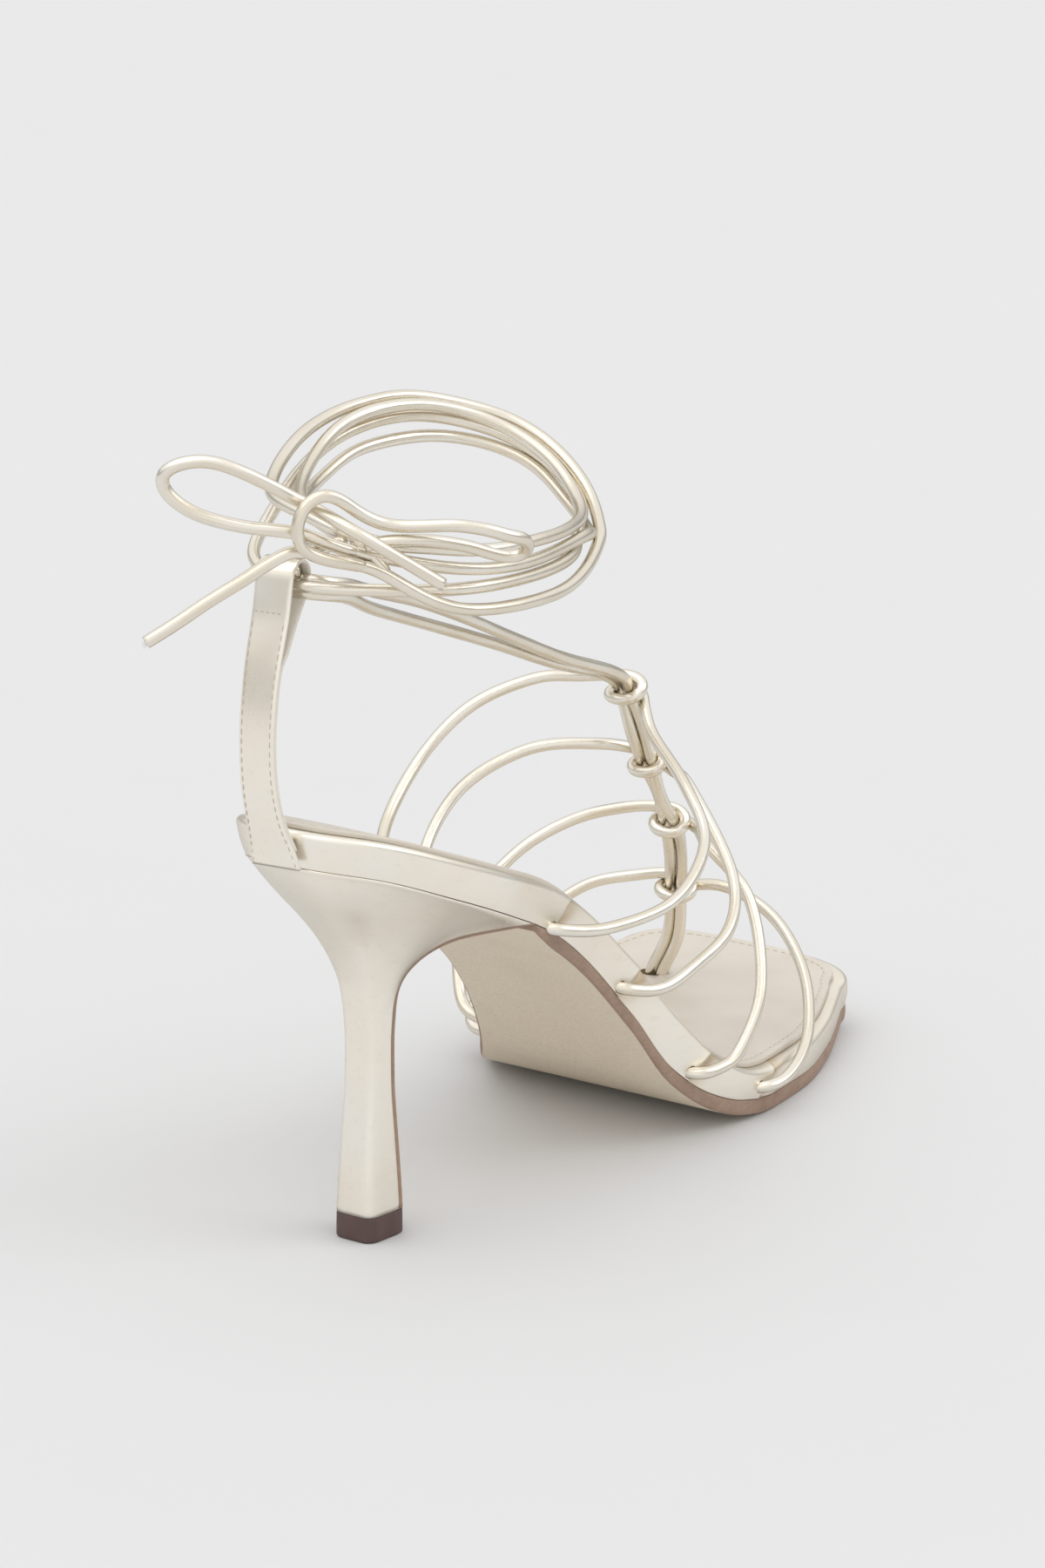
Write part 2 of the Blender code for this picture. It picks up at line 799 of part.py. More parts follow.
def knot_ring(centre, ahead):
    """(points, faces) of a turn of cord round the two spine cords."""
    ahead = np.array(ahead, float)
    ahead /= np.linalg.norm(ahead)
    side = np.array((0.0, 1.0, 0.0))
    side -= ahead * ahead[1]
    side /= np.linalg.norm(side)
    other = np.cross(ahead, side)
    path = []
    for angle in np.arange(KNOT_PARTS) * 2 * np.pi / KNOT_PARTS:
        out = KNOT_REACH[0] * np.cos(angle) * side + KNOT_REACH[1] * np.sin(angle) * other
        path.append(np.array(centre) + out)
    path = np.array(path)
    sections = []
    for k, point in enumerate(path):
        forward = path[(k + 1) % KNOT_PARTS] - path[k - 1]
        forward /= np.linalg.norm(forward)
        out = np.cross(forward, ahead)
        around = np.arange(CORD_SIDES) * 2 * np.pi / CORD_SIDES
        sections.append([point + CORD / 2 * (out * np.cos(a) + ahead * np.sin(a)) for a in around])
    return loft(sections, closed=True)


def build_cage(paint):
    pieces = []
    for shift in (-SPINE_APART / 2, SPINE_APART / 2):
        route = [(along, across + shift, up) for along, across, up in SPINE]
        pieces.append(cord_shape(route))
    for route in RIBS.values():
        pieces.append(cord_shape(route))
    for k in KNOTS:
        ahead = np.array(SPINE[k + 1]) - np.array(SPINE[max(k - 1, 0)])
        pieces.append(knot_ring(SPINE[k], ahead))
    return joined("cage", pieces, paint)


def build_ankle_lace(paint):
    return joined("ankle_lace", [cord_shape(route) for route in LACES.values()], paint)


def build_bow(paint):
    for name, route in BOW.items():
        curve = bpy.data.curves.new(name, "CURVE")
        curve.dimensions = "3D"
        curve.bevel_depth = CORD / 2 * MM
        curve.bevel_resolution = 2
        curve.use_fill_caps = True
        spline = curve.splines.new("POLY")
        points = smooth_path(route, BOW_STEP)
        spline.points.add(len(points) - 1)
        for made, point in zip(spline.points, points):
            made.co = (*place(point), 1.0)
        curve.materials.append(paint)
        bpy.context.scene.collection.objects.link(bpy.data.objects.new(name, curve))


def rib_pockets():
    tools = []
    for route in RIBS.values():
        for end, outer in ((route[0], route[1]), (route[-1], route[-2])):
            outward = np.subtract(outer, end)
            outward /= np.linalg.norm(outward)
            path = (end - 2 * GAP * outward, np.add(outer, POCKET_PAST * outward))
            tools.append(loft(tube_sections(path, POCKET, 4)))
    return tools


def toe_slot():
    along, across, up = SPINE[-1]
    return [box((along, across, up + SLOT[2] / 2 - CORD / 2 - GAP), SLOT)]


def main():
    clear_scene()
    gold = material("pale_gold", GOLD, 1.0, 0.3)
    footbed = build_footbed(material("platform_gold", GOLD, 1.0, 0.32))
    cut(footbed, rib_pockets() + toe_slot())
    insole = build_insole(material("sock", SOCK, 0.3, 0.4))
    cut(insole, toe_slot())
    build_outsole(material("sole", UNDER, 0.2, 0.5))
    build_heel(material("heel_gold", GOLD, 1.0, 0.3))
    build_heel_tip(material("rubber", RUBBER, 0.0, 0.6))
    build_heel_strap(material("strap_gold", GOLD, 1.0, 0.34))
    build_cage(gold)
    build_ankle_lace(material("lace_gold", GOLD, 1.0, 0.3))
    build_bow(material("bow_gold", GOLD, 1.0, 0.3))


main()
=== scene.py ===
"""Caged lace-up sandal with a stiletto heel, right shoe, dressed for the studio.

Sizes are in millimetres in the shoe's own terms: along runs from the back of the seat to the toe,
across is positive towards the little-toe side, up is the height over the floor. place() turns them
into the frame's metres.
"""

import bmesh
import bpy
import numpy as np
from mathutils import Matrix, Vector


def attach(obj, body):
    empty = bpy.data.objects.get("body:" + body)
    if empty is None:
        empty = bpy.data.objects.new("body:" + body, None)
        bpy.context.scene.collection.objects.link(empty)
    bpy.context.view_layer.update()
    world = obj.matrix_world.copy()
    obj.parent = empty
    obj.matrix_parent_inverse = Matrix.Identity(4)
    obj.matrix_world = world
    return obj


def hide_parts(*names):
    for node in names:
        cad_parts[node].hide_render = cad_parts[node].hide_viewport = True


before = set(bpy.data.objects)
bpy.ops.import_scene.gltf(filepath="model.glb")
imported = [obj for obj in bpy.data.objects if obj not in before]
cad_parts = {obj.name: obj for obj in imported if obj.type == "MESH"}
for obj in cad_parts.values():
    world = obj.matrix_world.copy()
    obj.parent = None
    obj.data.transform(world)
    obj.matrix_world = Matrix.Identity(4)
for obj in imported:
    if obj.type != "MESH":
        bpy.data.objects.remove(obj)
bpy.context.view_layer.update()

MM = 0.001
ORIGIN_ALONG = 107.7
ORIGIN_ACROSS = 0.8
TURN = 2 * np.pi
TWIN = 1e-6  # metres between points that are made one

# Sole
LENGTH = 222.5
SEAT = 50.0  # the station where the seat's round ends
SEAT_ACROSS = 5.0
SEAT_POWER = 2.7
SEAT_BACK = 1.2
TOE_ON = 205.0  # the station where the toe's round starts
TOE_POWER = 3.2
SKEW = 0.116  # how far back a station lies for each millimetre towards the little toe
OUTSOLE = 3.7
OUTSOLE_BACK = 0.38  # its share of that at the heel's breast
OUTSOLE_RUN = 9.0  # where it is full again in front of the breast
# (how far it is grown, dip) of its loops under the platform
OUTSOLE_TOP = ((-1.2, 0.0), (-0.3, 0.0), (-0.06, -0.05), (0.0, -0.25))
SOLE_BEVEL = 0.8
GAP = 0.3  # between the heel and its rubber top piece
LAYER_GAP = 0.4
INSOLE = 0.9
INSOLE_INSET = 1.6
RIM_ROUND = 1.6
# (how far it is grown, its rise) of each loop under the platform's edge
PLATFORM_FOOT = ((-2.5, 0.0), (-0.3, 0.0), (-0.06, 0.04), (0.0, 0.2))
PLATFORM_BULGE = 0.22
# (how far in from the rim, rise, how far up a slit it counts) of the loops on top
PLATFORM_TOP = ((1.2, 0.02, 1.1), (3.0, -0.02, 1.2))
SLIT_SLANT = 7.5  # how far a slit leans towards the toe up the platform's side
SLIT_START = -0.4
SLIT_DEPTH = 0.8
SLIT_RAMP = 3.0
# how far the painted crease shade beside a slit reaches towards the toe
SLIT_SHADE_SPREAD = 2.6
HOLE_SPARE = 0.1  # how much wider than its cord a hole is, to each side
HOLE_OUT = 1.5  # how far outside the platform its rod starts
HOLE_SHORT = 0.4
SOCK_STITCH_IN = 2.1
SOCK_ROUND = 0.55
SOCK_CROWN = 0.35
TOE_SLOT = (3.2, 2.2)  # half its size across and along
# (length, gap, thickness, how deep it sinks) of the stitches
SOCK_STITCH = (1.9, 0.5, 0.34, 0.1)
STRAP_STITCH = (1.5, 0.5, 0.26, 0.09)
CROSS_STITCH = (1.1, 0.25, 0.32, 0.1)
STITCH_RINGS = 7
THREAD_ENDS = 0.45  # its share of the thickness at a stitch's ends
THREAD_PROUD = 0.42
THREAD_FLAT = 0.8
# (inset, dip) of the sock's top, from its edge over the seam
SOCK_SEAM = ((1.2, 0.02), (1.7, -0.05), (SOCK_STITCH_IN, -0.16), (2.5, -0.05), (3.2, 0.03), (5.0, 0.1))
# (along, little-toe edge, big-toe edge)
EDGES = (
    (50.0, 31.0, -17.5), (70.0, 29.9, -13.6), (90.0, 29.4, -12.3), (110.0, 31.8, -15.9),
    (130.0, 36.4, -26.8), (150.0, 38.9, -37.4), (170.0, 38.0, -41.5), (190.0, 33.8, -40.6),
    (210.0, 26.5, -36.0),
)
# (along, up) of the platform's underside
UNDERSIDE = (
    (-3.0, 89.6), (0.0, 88.7), (12.4, 85.3), (31.5, 77.9), (50.6, 70.0), (69.7, 61.4), (87.9, 49.2),
    (104.1, 33.9), (117.5, 18.7), (129.9, 10.2), (142.3, 5.6), (155.7, 3.7), (176.7, 3.7), (199.6, 5.2),
    (224.0, 7.7),
)
# (along, height of the platform's side, how far the side leans out at the top)
PLATFORM = (
    (0.0, 8.0, 1.8), (48.7, 8.9, 1.6), (92.6, 11.4, 0.9), (114.6, 13.1, 0.7), (132.7, 9.4, 0.5),
    (148.0, 6.7, 0.4), (224.0, 6.4, 0.4),
)

# Heel
TIP_ALONG = 31.2
TIP_ACROSS = 5.9
TIP_UP = 5.6
NECK_UP = 50.0
# (up, width, depth)
SHANK = (
    (0.0, 10.7, 12.4), (5.6, 10.6, 12.3), (12.0, 10.1, 11.8), (22.0, 9.3, 10.3), (34.0, 8.6, 8.4),
    (43.0, 8.7, 8.0), (50.0, 9.4, 8.5),
)
SHANK_POWER = 5
SHANK_TURN = 8.0
BREAST = 62.0
BREAST_HOLLOW = 13.0
FLAP_EDGE = 1.1  # the brown edge of the sole leather that runs down the heel's breast
FLAP_PROUD = 0.14
FLAP_SUNK = 0.2
FLAP_STEPS = 4  # points across its edge on each side
FLAP_REACH = 21  # columns of the heel that the edge may cross
SEAM = 0.1
HEEL_SIDE = 42  # points of a row from its back to each corner of the breast
HEEL_FRONT = 22  # and across the breast
TIP_SIDES = 64
RING_SEAT = 12.0  # where the seat's round goes over into the wings
RING_END = 14.0
FIRST_TURN = 6.0  # degrees round the seat of the first ring
WING_STEP = 6.0
BACK_HALF = 0.72  # half turns from the shank's back to each corner of its breast
FRONT_FROM = 1.22  # the breast's first corner and its sweep, in half turns
FRONT_SWEEP = 0.56
HEEL_WIDEST = 30.0  # where the side's own flare holds
# how far down to the neck each row lies
FALLS = (*np.linspace(0, 0.3, 13), *np.linspace(0.34, 0.96, 18))
# (how far down to the neck, what is left of the seat's spread at the back, the sides and the breast)
FLARE = (
    (0.0, 1.0, 1.0, 1.0), (0.1, 0.9, 0.8, 0.46), (0.25, 0.71, 0.57, 0.25), (0.4, 0.49, 0.38, 0.14),
    (0.55, 0.29, 0.23, 0.07), (0.7, 0.14, 0.12, 0.03), (0.85, 0.04, 0.04, 0.01), (1.0, 0.0, 0.0, 0.0),
)

# Heel strap
STRAP_THICK = 1.8
STRAP_ACROSS = 3.7
LAYER = 0.8
LAYER_OFF = 0.46  # how far each layer lies from the strap's middle
SEWN_UP = 142.6  # where a seam across the strap closes the loop
EDGE_SEAM_UP = 141.5  # where the seams down its edges start
EDGE_SEAMS = ((-1, 0.6), (1, 0.85))  # (side, how far in from the edge)
BAND_HALF = 5.0  # half the band's width before it is scaled to the strap's
BAND_FLAT = 1.2
BAND_EDGE = ((0.0, 0.0), (0.06, 0.24), (0.32, 0.39))  # (inset, out) round each edge
OUTER_UP = 143.5  # where the outer layer goes over into the loop
INNER_UP = 131.5  # where the loop goes over into the inner layer
# (up, width)
STRAP_WIDTH = (
    (86.0, 12.4), (92.0, 11.0), (100.0, 8.8), (112.0, 8.2), (126.0, 8.3), (140.0, 8.8), (155.0, 9.0),
)
# (along of the outer face, up)
STRAP = (
    (-2.0, 88.7), (-3.1, 92.0), (-5.0, 96.0), (-6.9, 100.5), (-8.7, 107.5), (-9.3, 116.0),
    (-8.6, 124.0), (-6.9, 132.0), (-4.3, 140.0), (-2.3, 147.0),
)
# (along, up) of the loop's middle line, down to where it is sewn to the strap again
LOOP = (
    (-2.2, 147.4), (-1.3, 151.2), (1.6, 152.8), (4.5, 151.2), (4.9, 148.0), (3.1, 144.8), (0.7, 141.4),
    (-1.7, 137.6), (-3.7, 133.8),
)

# Cords
CORD = 2.7
SPINE_APART = 2.62
SPINE_TWIST = 0.75  # radians, halfway between two knots
CORD_STEP = 0.8
CORD_SIDES = 20
LAP_DEPTH = 0.07  # the foil's lapped seam, as a share of the radius
LAP_WIDTH = 0.2  # radians
LAP_WANDER = 0.9  # radians round the cord, to either side
OVAL = 0.025
SWELL = 0.018
END_TAPER = 0.15  # how much slimmer an end is pressed, over its last 1.6 mm
CORE = 0.7  # the core's share of a cord
FRAY_LEAN = 0.45
FRAY_CURL = 0.18
FIBRE = 0.075  # radius of a loose fibre of a cord's core
# (share of the radius, how far out) of the rings across a cut end: the foil's edge, then the core
CUT_END = ((0.95, 0.10), (0.80, 0.05), (0.74, -0.22), (0.45, -0.02), (0.12, 0.10))
TOUCH = 0.985  # how near two cords' middle lines may come, as a share of the cord
SETTLE_ROUNDS = 90
SETTLE_PUSH = 0.45
SETTLE_EASE = 0.995
SETTLE_REACH = 3 * CORD
OWN_NEIGHBOURS = 6  # points along a cord that may lie nearer than that to one another
JOIN_ROUNDS = 25
JOIN_EASE = 9  # points over which a join is smoothed to either side
TIE_LOOSE = 1.3  # how much looser a rib is hitched round the ties
TIE_RISE = 0.8  # how much higher the ties turn down at the first knot
HITCH_START = 125.0  # degrees round the spine, from the little-toe side towards the instep
HITCH_END = -300.0
HITCH_RISE = -1.5  # where the hitch starts along the spine
HITCH_PITCH = 2.85
# (along, across, up) of its knots and of the toe post, down to where it ends in the sock
SPINE = (
    (148.0, 1.5, 92.5), (153.6, 1.6, 82.0), (158.7, 1.5, 73.2), (165.0, 1.1, 64.2), (171.7, 0.3, 56.2),
    (181.2, -3.6, 46.0), (189.9, -8.1, 34.8), (192.9, -10.4, 22.5), (193.0, -14.6, 13.6),
    (192.9, -15.9, 8.9),
)
# each rib: the knot that it hitches on, its big-toe half up to the knot, its little-toe half down
RIBS = {
    "rib_1": (
        0,
        (
            (75.0, -7.5, 61.2), (76.5, -12.6, 60.6), (83.0, -22.5, 62.6), (98.5, -30.7, 69.3),
            (115.4, -31.7, 80.3), (125.3, -24.8, 90.6), (134.5, -13.9, 96.2), (142.0, -7.0, 96.0),
        ),
        (
            (146.6, 6.6, 88.2), (142.4, 11.4, 84.8), (129.5, 27.0, 78.4), (117.5, 38.6, 70.0),
            (98.5, 41.8, 62.2), (79.0, 37.0, 60.2), (66.0, 31.6, 62.2), (64.8, 25.3, 63.2),
        ),
    ),
    "rib_2": (
        2,
        (
            (99.4, -7.8, 42.0), (100.4, -13.0, 41.4), (105.5, -22.6, 46.6), (115.4, -31.5, 56.8),
            (130.2, -30.7, 69.3), (142.1, -19.8, 77.4), (152.0, -7.6, 78.0),
        ),
        (
            (158.0, 8.4, 72.4), (150.8, 16.6, 71.4), (140.0, 33.2, 57.0), (127.0, 39.8, 48.2),
            (112.4, 38.4, 42.6), (103.2, 35.8, 40.0), (95.4, 31.7, 41.4), (94.8, 25.8, 42.4),
        ),
    ),
    "rib_3": (
        4,
        (
            (119.8, -14.6, 20.6), (121.0, -22.0, 20.2), (124.8, -27.6, 24.4), (135.2, -32.7, 37.6),
            (153.0, -30.0, 48.5), (164.6, -21.6, 55.2), (170.4, -10.6, 58.4),
        ),
        (
            (170.0, 8.0, 56.0), (162.0, 13.0, 59.2), (153.0, 19.6, 58.4), (149.4, 32.7, 48.5),
            (139.6, 41.2, 31.7), (130.0, 41.2, 19.6), (124.4, 39.4, 17.0), (118.8, 36.6, 16.6),
            (118.6, 28.8, 17.2),
        ),
    ),
    "rib_4": (
        6,
        (
            (145.8, -29.8, 8.0), (147.0, -37.0, 8.0), (151.6, -39.8, 11.2), (162.9, -40.2, 16.8),
            (176.8, -37.8, 25.8), (185.7, -29.7, 33.4), (190.0, -18.6, 36.4),
        ),
        (
            (192.0, 3.6, 36.4), (189.2, 17.8, 31.9), (179.8, 30.7, 23.4), (165.9, 39.4, 14.4),
            (153.0, 42.2, 8.8), (144.0, 40.2, 7.2), (142.4, 32.2, 7.1),
        ),
    ),
}
# the two ties, from the strap's loop to the first knot, where they turn down as the spine
TIES = {
    "little_side": (
        (2.7, 5.0, 148.4), (3.0, 9.0, 148.2), (6.6, 12.2, 147.2), (14.5, 12.0, 145.2),
        (27.2, 9.4, 141.2), (45.7, 7.4, 135.4), (60.8, 6.6, 129.8), (76.2, 5.8, 123.6),
        (95.9, 5.0, 115.2), (116.1, 4.4, 107.0), (138.9, 4.2, 98.9),
    ),
    "big_side": (
        (2.8, 5.4, 147.4), (3.0, 9.0, 147.0), (6.6, 11.9, 145.8), (14.5, 10.9, 143.0),
        (28.8, 7.4, 137.2), (47.3, 4.0, 130.8), (70.0, 2.9, 122.8), (93.5, 1.9, 114.3),
        (117.6, 0.8, 105.2), (138.9, -0.6, 98.2),
    ),
}
# the turns round the ankle, with what lies inside the knot at either end
TURNS = {
    "turn_through_loop": (
        (2.7, 7.0, 148.6), (2.6, 1.0, 148.6), (2.8, -3.6, 149.2), (6.0, -7.0, 151.2),
        (13.0, -8.8, 154.6), (22.8, -10.3, 159.3), (37.1, -13.6, 163.0), (53.4, -13.2, 167.2),
        (72.6, -8.1, 168.0), (84.4, 3.2, 164.2), (87.6, 14.6, 158.8), (83.2, 26.4, 152.0),
        (66.6, 36.4, 147.3), (51.4, 39.6, 145.6), (31.7, 38.6, 145.9), (16.3, 33.2, 146.7),
        (6.4, 22.4, 147.4), (3.0, 12.0, 147.4), (2.8, 5.8, 147.6),
    ),
    "turn_outer": (
        (1.4, 21.4, 158.8), (0.8, 16.8, 160.2), (3.4, 6.2, 162.4), (9.4, -4.0, 163.0), (21.0, -10.6, 165.2),
        (34.4, -13.8, 169.0), (47.2, -14.8, 171.2), (58.9, -13.4, 172.2), (72.8, -9.0, 172.0),
        (86.6, 2.8, 167.2), (90.2, 12.1, 162.7), (88.4, 22.2, 156.4), (82.0, 30.6, 150.0),
        (66.8, 38.7, 144.4), (51.5, 41.9, 141.2), (34.6, 41.4, 141.2), (20.2, 37.4, 142.2),
        (12.2, 33.4, 144.8), (6.0, 28.6, 149.6), (2.4, 24.4, 153.4), (-0.8, 25.0, 154.2),
        (-1.5, 24.4, 154.4),
    ),
    "turn_inner": (
        (-6.3, 14.4, 156.7), (-3.4, 15.6, 157.2), (-0.6, 17.4, 157.8),
        (1.6, 18.6, 158.4), (11.0, 6.0, 158.8), (24.0, -6.0, 158.2), (38.0, -12.4, 158.2),
        (47.3, -12.8, 160.8), (56.3, -12.0, 163.2), (72.7, -6.9, 163.6), (82.2, -0.4, 161.9),
        (86.6, 6.5, 159.4), (87.4, 13.6, 156.4), (84.6, 23.0, 149.9), (78.0, 31.0, 147.2),
        (64.8, 37.2, 148.4), (40.4, 39.8, 148.8), (26.7, 37.6, 149.6), (16.2, 33.6, 151.4),
        (7.8, 28.4, 153.8), (2.4, 23.8, 155.6), (-0.8, 21.6, 156.4), (-1.5, 21.0, 156.8),
    ),
    "turn_upper": (
        (4.1, 26.7, 151.5), (3.4, 25.4, 153.8), (2.0, 22.8, 156.8),
        (1.8, 18.4, 160.4), (5.4, 11.0, 160.6), (14.0, 0.6, 161.2), (26.6, -7.6, 162.4),
        (38.5, -11.4, 165.9), (47.5, -11.9, 169.3), (56.4, -11.0, 170.9), (64.4, -8.9, 171.3),
        (71.8, -5.6, 170.8), (79.0, -0.2, 168.6), (84.4, 7.0, 165.0), (86.0, 14.8, 160.6),
        (83.6, 21.6, 157.0), (78.4, 28.6, 152.6), (70.0, 34.2, 151.3), (60.5, 37.4, 151.7),
        (50.5, 39.6, 152.3), (40.4, 40.0, 153.0), (30.1, 38.6, 153.3), (21.0, 35.6, 154.3),
        (13.8, 31.8, 155.8), (8.0, 28.2, 156.9), (2.4, 24.4, 157.4),
    ),
}
# the bow's three cords, by the CAD node that each stands for
BOW = {
    "bow_right": (
        (-0.8, 25.0, 154.2), (-4.7, 21.5, 155.2), (-7.9, 18.4, 156.3), (-10.5, 16.2, 158.5),
        (-11.6, 15.3, 161.2), (-11.5, 15.6, 164.8), (-10.0, 16.9, 167.9), (-7.5, 19.0, 169.3),
        (-4.7, 21.2, 168.0), (-1.7, 23.5, 165.2), (1.2, 26.2, 163.0), (4.0, 29.4, 162.0),
        (6.6, 34.0, 162.0), (10.0, 39.1, 162.1), (14.2, 43.8, 161.0), (17.8, 46.9, 159.4),
        (21.4, 48.2, 158.2), (24.7, 47.5, 156.0), (26.1, 45.6, 153.8), (24.6, 43.2, 153.2),
        (21.4, 41.1, 154.2), (16.7, 38.2, 156.3), (10.6, 34.6, 158.1), (5.2, 30.8, 158.9),
        (1.0, 26.8, 158.9), (-1.2, 24.8, 158.3),
    ),
    "bow_left": (
        (-0.8, 21.6, 156.4), (-3.0, 19.8, 157.5), (-6.0, 17.1, 159.5), (-8.1, 13.9, 160.9),
        (-11.3, 10.2, 161.8), (-15.6, 4.6, 162.8), (-19.9, -2.0, 164.9), (-22.9, -6.3, 168.0),
        (-24.4, -8.4, 171.4), (-24.8, -7.5, 174.3), (-23.2, -4.0, 176.2), (-20.4, 0.4, 176.4),
        (-16.8, 5.3, 174.3), (-11.8, 10.4, 170.5), (-8.8, 12.7, 168.2), (-6.6, 15.0, 166.5),
        (-6.0, 18.6, 164.9), (-5.7, 23.5, 162.8), (-4.3, 26.7, 160.9), (-1.5, 29.9, 158.1),
        (2.7, 34.0, 154.3), (6.8, 38.1, 150.5),
    ),
    "bow_end": (
        (-6.3, 14.4, 156.7), (-8.8, 11.9, 157.0), (-12.2, 8.7, 154.9), (-15.9, 4.8, 151.6),
        (-19.9, -0.9, 147.3), (-23.5, -5.8, 143.2), (-26.9, -10.9, 139.3),
    ),
}
BOW_NAMES = {
    "bow_right": "knot_and_right_loop",
    "bow_left": "left_loop_and_right_end",
    "bow_end": "left_end",
}

# Camera: its place in the frame, its heading, its dip below level and its tilt
CAMERA = (-0.7247, 1.2538, 0.4752)
CAMERA_HEADING = 212.22
CAMERA_DIP = 14.06
CAMERA_TILT = 0.31
AIM_RIGHT = 2.11
AIM_DOWN = 1.2
LENS = 157.84

# Light: how bright the white room is overhead and where it is FACING, and what share is left beside it
ROOM = 1.0
DIM = 0.40
FACING = (-0.5, 0.87, 0.0)
FLOOR_REACH = 6.0


# ---------------------------------------------------------------- sizes and lines


def place(points):
    points = np.asarray(points, float)
    along, across, up = points[..., 0], points[..., 1], points[..., 2]
    return np.stack(((ORIGIN_ACROSS - across) * MM, (ORIGIN_ALONG - along) * MM, up * MM), -1)


def unit(vectors):
    vectors = np.asarray(vectors, float)
    return vectors / np.linalg.norm(vectors, axis=-1, keepdims=True)


def curve_through(rows, at):
    """Smooth values at each place of at, through a table's rows, without overshoot."""
    rows = np.array(rows, float)
    x, y = rows[:, 0], rows[:, 1:]
    step = np.diff(x)[:, None]
    slope = np.diff(y, axis=0) / step
    turn = slope[1:] * slope[:-1]
    middle = np.where(turn > 0, 2 * turn / np.where(turn > 0, slope[1:] + slope[:-1], 1), 0)
    tangent = np.vstack((slope[:1], middle, slope[-1:]))
    at = np.clip(np.atleast_1d(np.asarray(at, float)), x[0], x[-1])
    row = np.clip(np.searchsorted(x, at, side="right") - 1, 0, len(x) - 2)
    u = ((at - x[row]) / (x[row + 1] - x[row]))[:, None]
    span = step[row]
    return (
        (1 + 2 * u) * (1 - u) ** 2 * y[row]
        + u * (1 - u) ** 2 * span * tangent[row]
        + u * u * (3 - 2 * u) * y[row + 1]
        + u * u * (u - 1) * span * tangent[row + 1]
    )


def underside(along):
    return curve_through(UNDERSIDE, along)[:, 0]


def spline(route, step, smooth=0):
    """Points step apart on a smooth curve through the route, its bends evened out smooth times."""
    route = np.array(route, float)
    ends = np.vstack((2 * route[0] - route[1], route, 2 * route[-1] - route[-2]))
    u = np.linspace(0, 1, 16, endpoint=False)[:, None]
    parts = []
    for k in range(1, len(ends) - 2):
        before, start, end, after = ends[k - 1 : k + 3]
        parts.append(
            start
            + 0.5 * u * (end - before)
            + u * u * (before - 2.5 * start + 2 * end - 0.5 * after)
            + u**3 * (-0.5 * before + 1.5 * start - 1.5 * end + 0.5 * after)
        )
    fine = np.vstack((*parts, route[-1:]))
    even = evened(fine, step)
    for _ in range(smooth):
        even[1:-1] = 0.5 * even[1:-1] + 0.25 * (even[:-2] + even[2:])
    return even


def run_along(line):
    """How far along a line each of its points lies."""
    return np.concatenate(([0], np.cumsum(np.linalg.norm(np.diff(line, axis=0), axis=1))))


def at_runs(wanted, run, values):
    """A line's values at these runs along it."""
    return np.column_stack([np.interp(wanted, run, column) for column in np.transpose(values)])


def evened(line, step):
    """The line again, with its points step apart."""
    run = run_along(line)
    return at_runs(np.linspace(0, run[-1], max(3, round(run[-1] / step) + 1)), run, line)


def frames_along(line):
    """(forward, side, other) at each point of a line, carried along it without twist."""
    forward = unit(np.gradient(line, axis=0))
    side = np.cross(forward[0], (0.31, 0.17, 0.93))
    sides = []
    for ahead in forward:
        side = side - ahead * side.dot(ahead)
        side = side / np.linalg.norm(side)
        sides.append(side)
    return forward, np.array(sides), np.cross(forward, sides)


def circle(centre, first, second, radius, count, flat=1.0):
    """Points round a centre, in the plane of two directions."""
    angles = np.arange(count) * TURN / count
    return [centre + radius * (np.cos(a) * first + flat * np.sin(a) * second) for a in angles]


# ---------------------------------------------------------------- pieces


def grid_faces(rows, columns, closed):
    """Quads between rows of points; closed joins each row's ends."""
    here = np.arange(rows * columns).reshape(rows, columns)
    right = np.roll(here, -1, axis=1)
    faces = np.stack((here[:-1], right[:-1], right[1:], here[1:]), -1)
    if not closed:
        faces = faces[:, :-1]
    return faces.reshape(-1, 4).tolist()


def put(name, data):
    """A new object in the scene."""
    made = bpy.data.objects.new(name, data)
    bpy.context.scene.collection.objects.link(made)
    return made


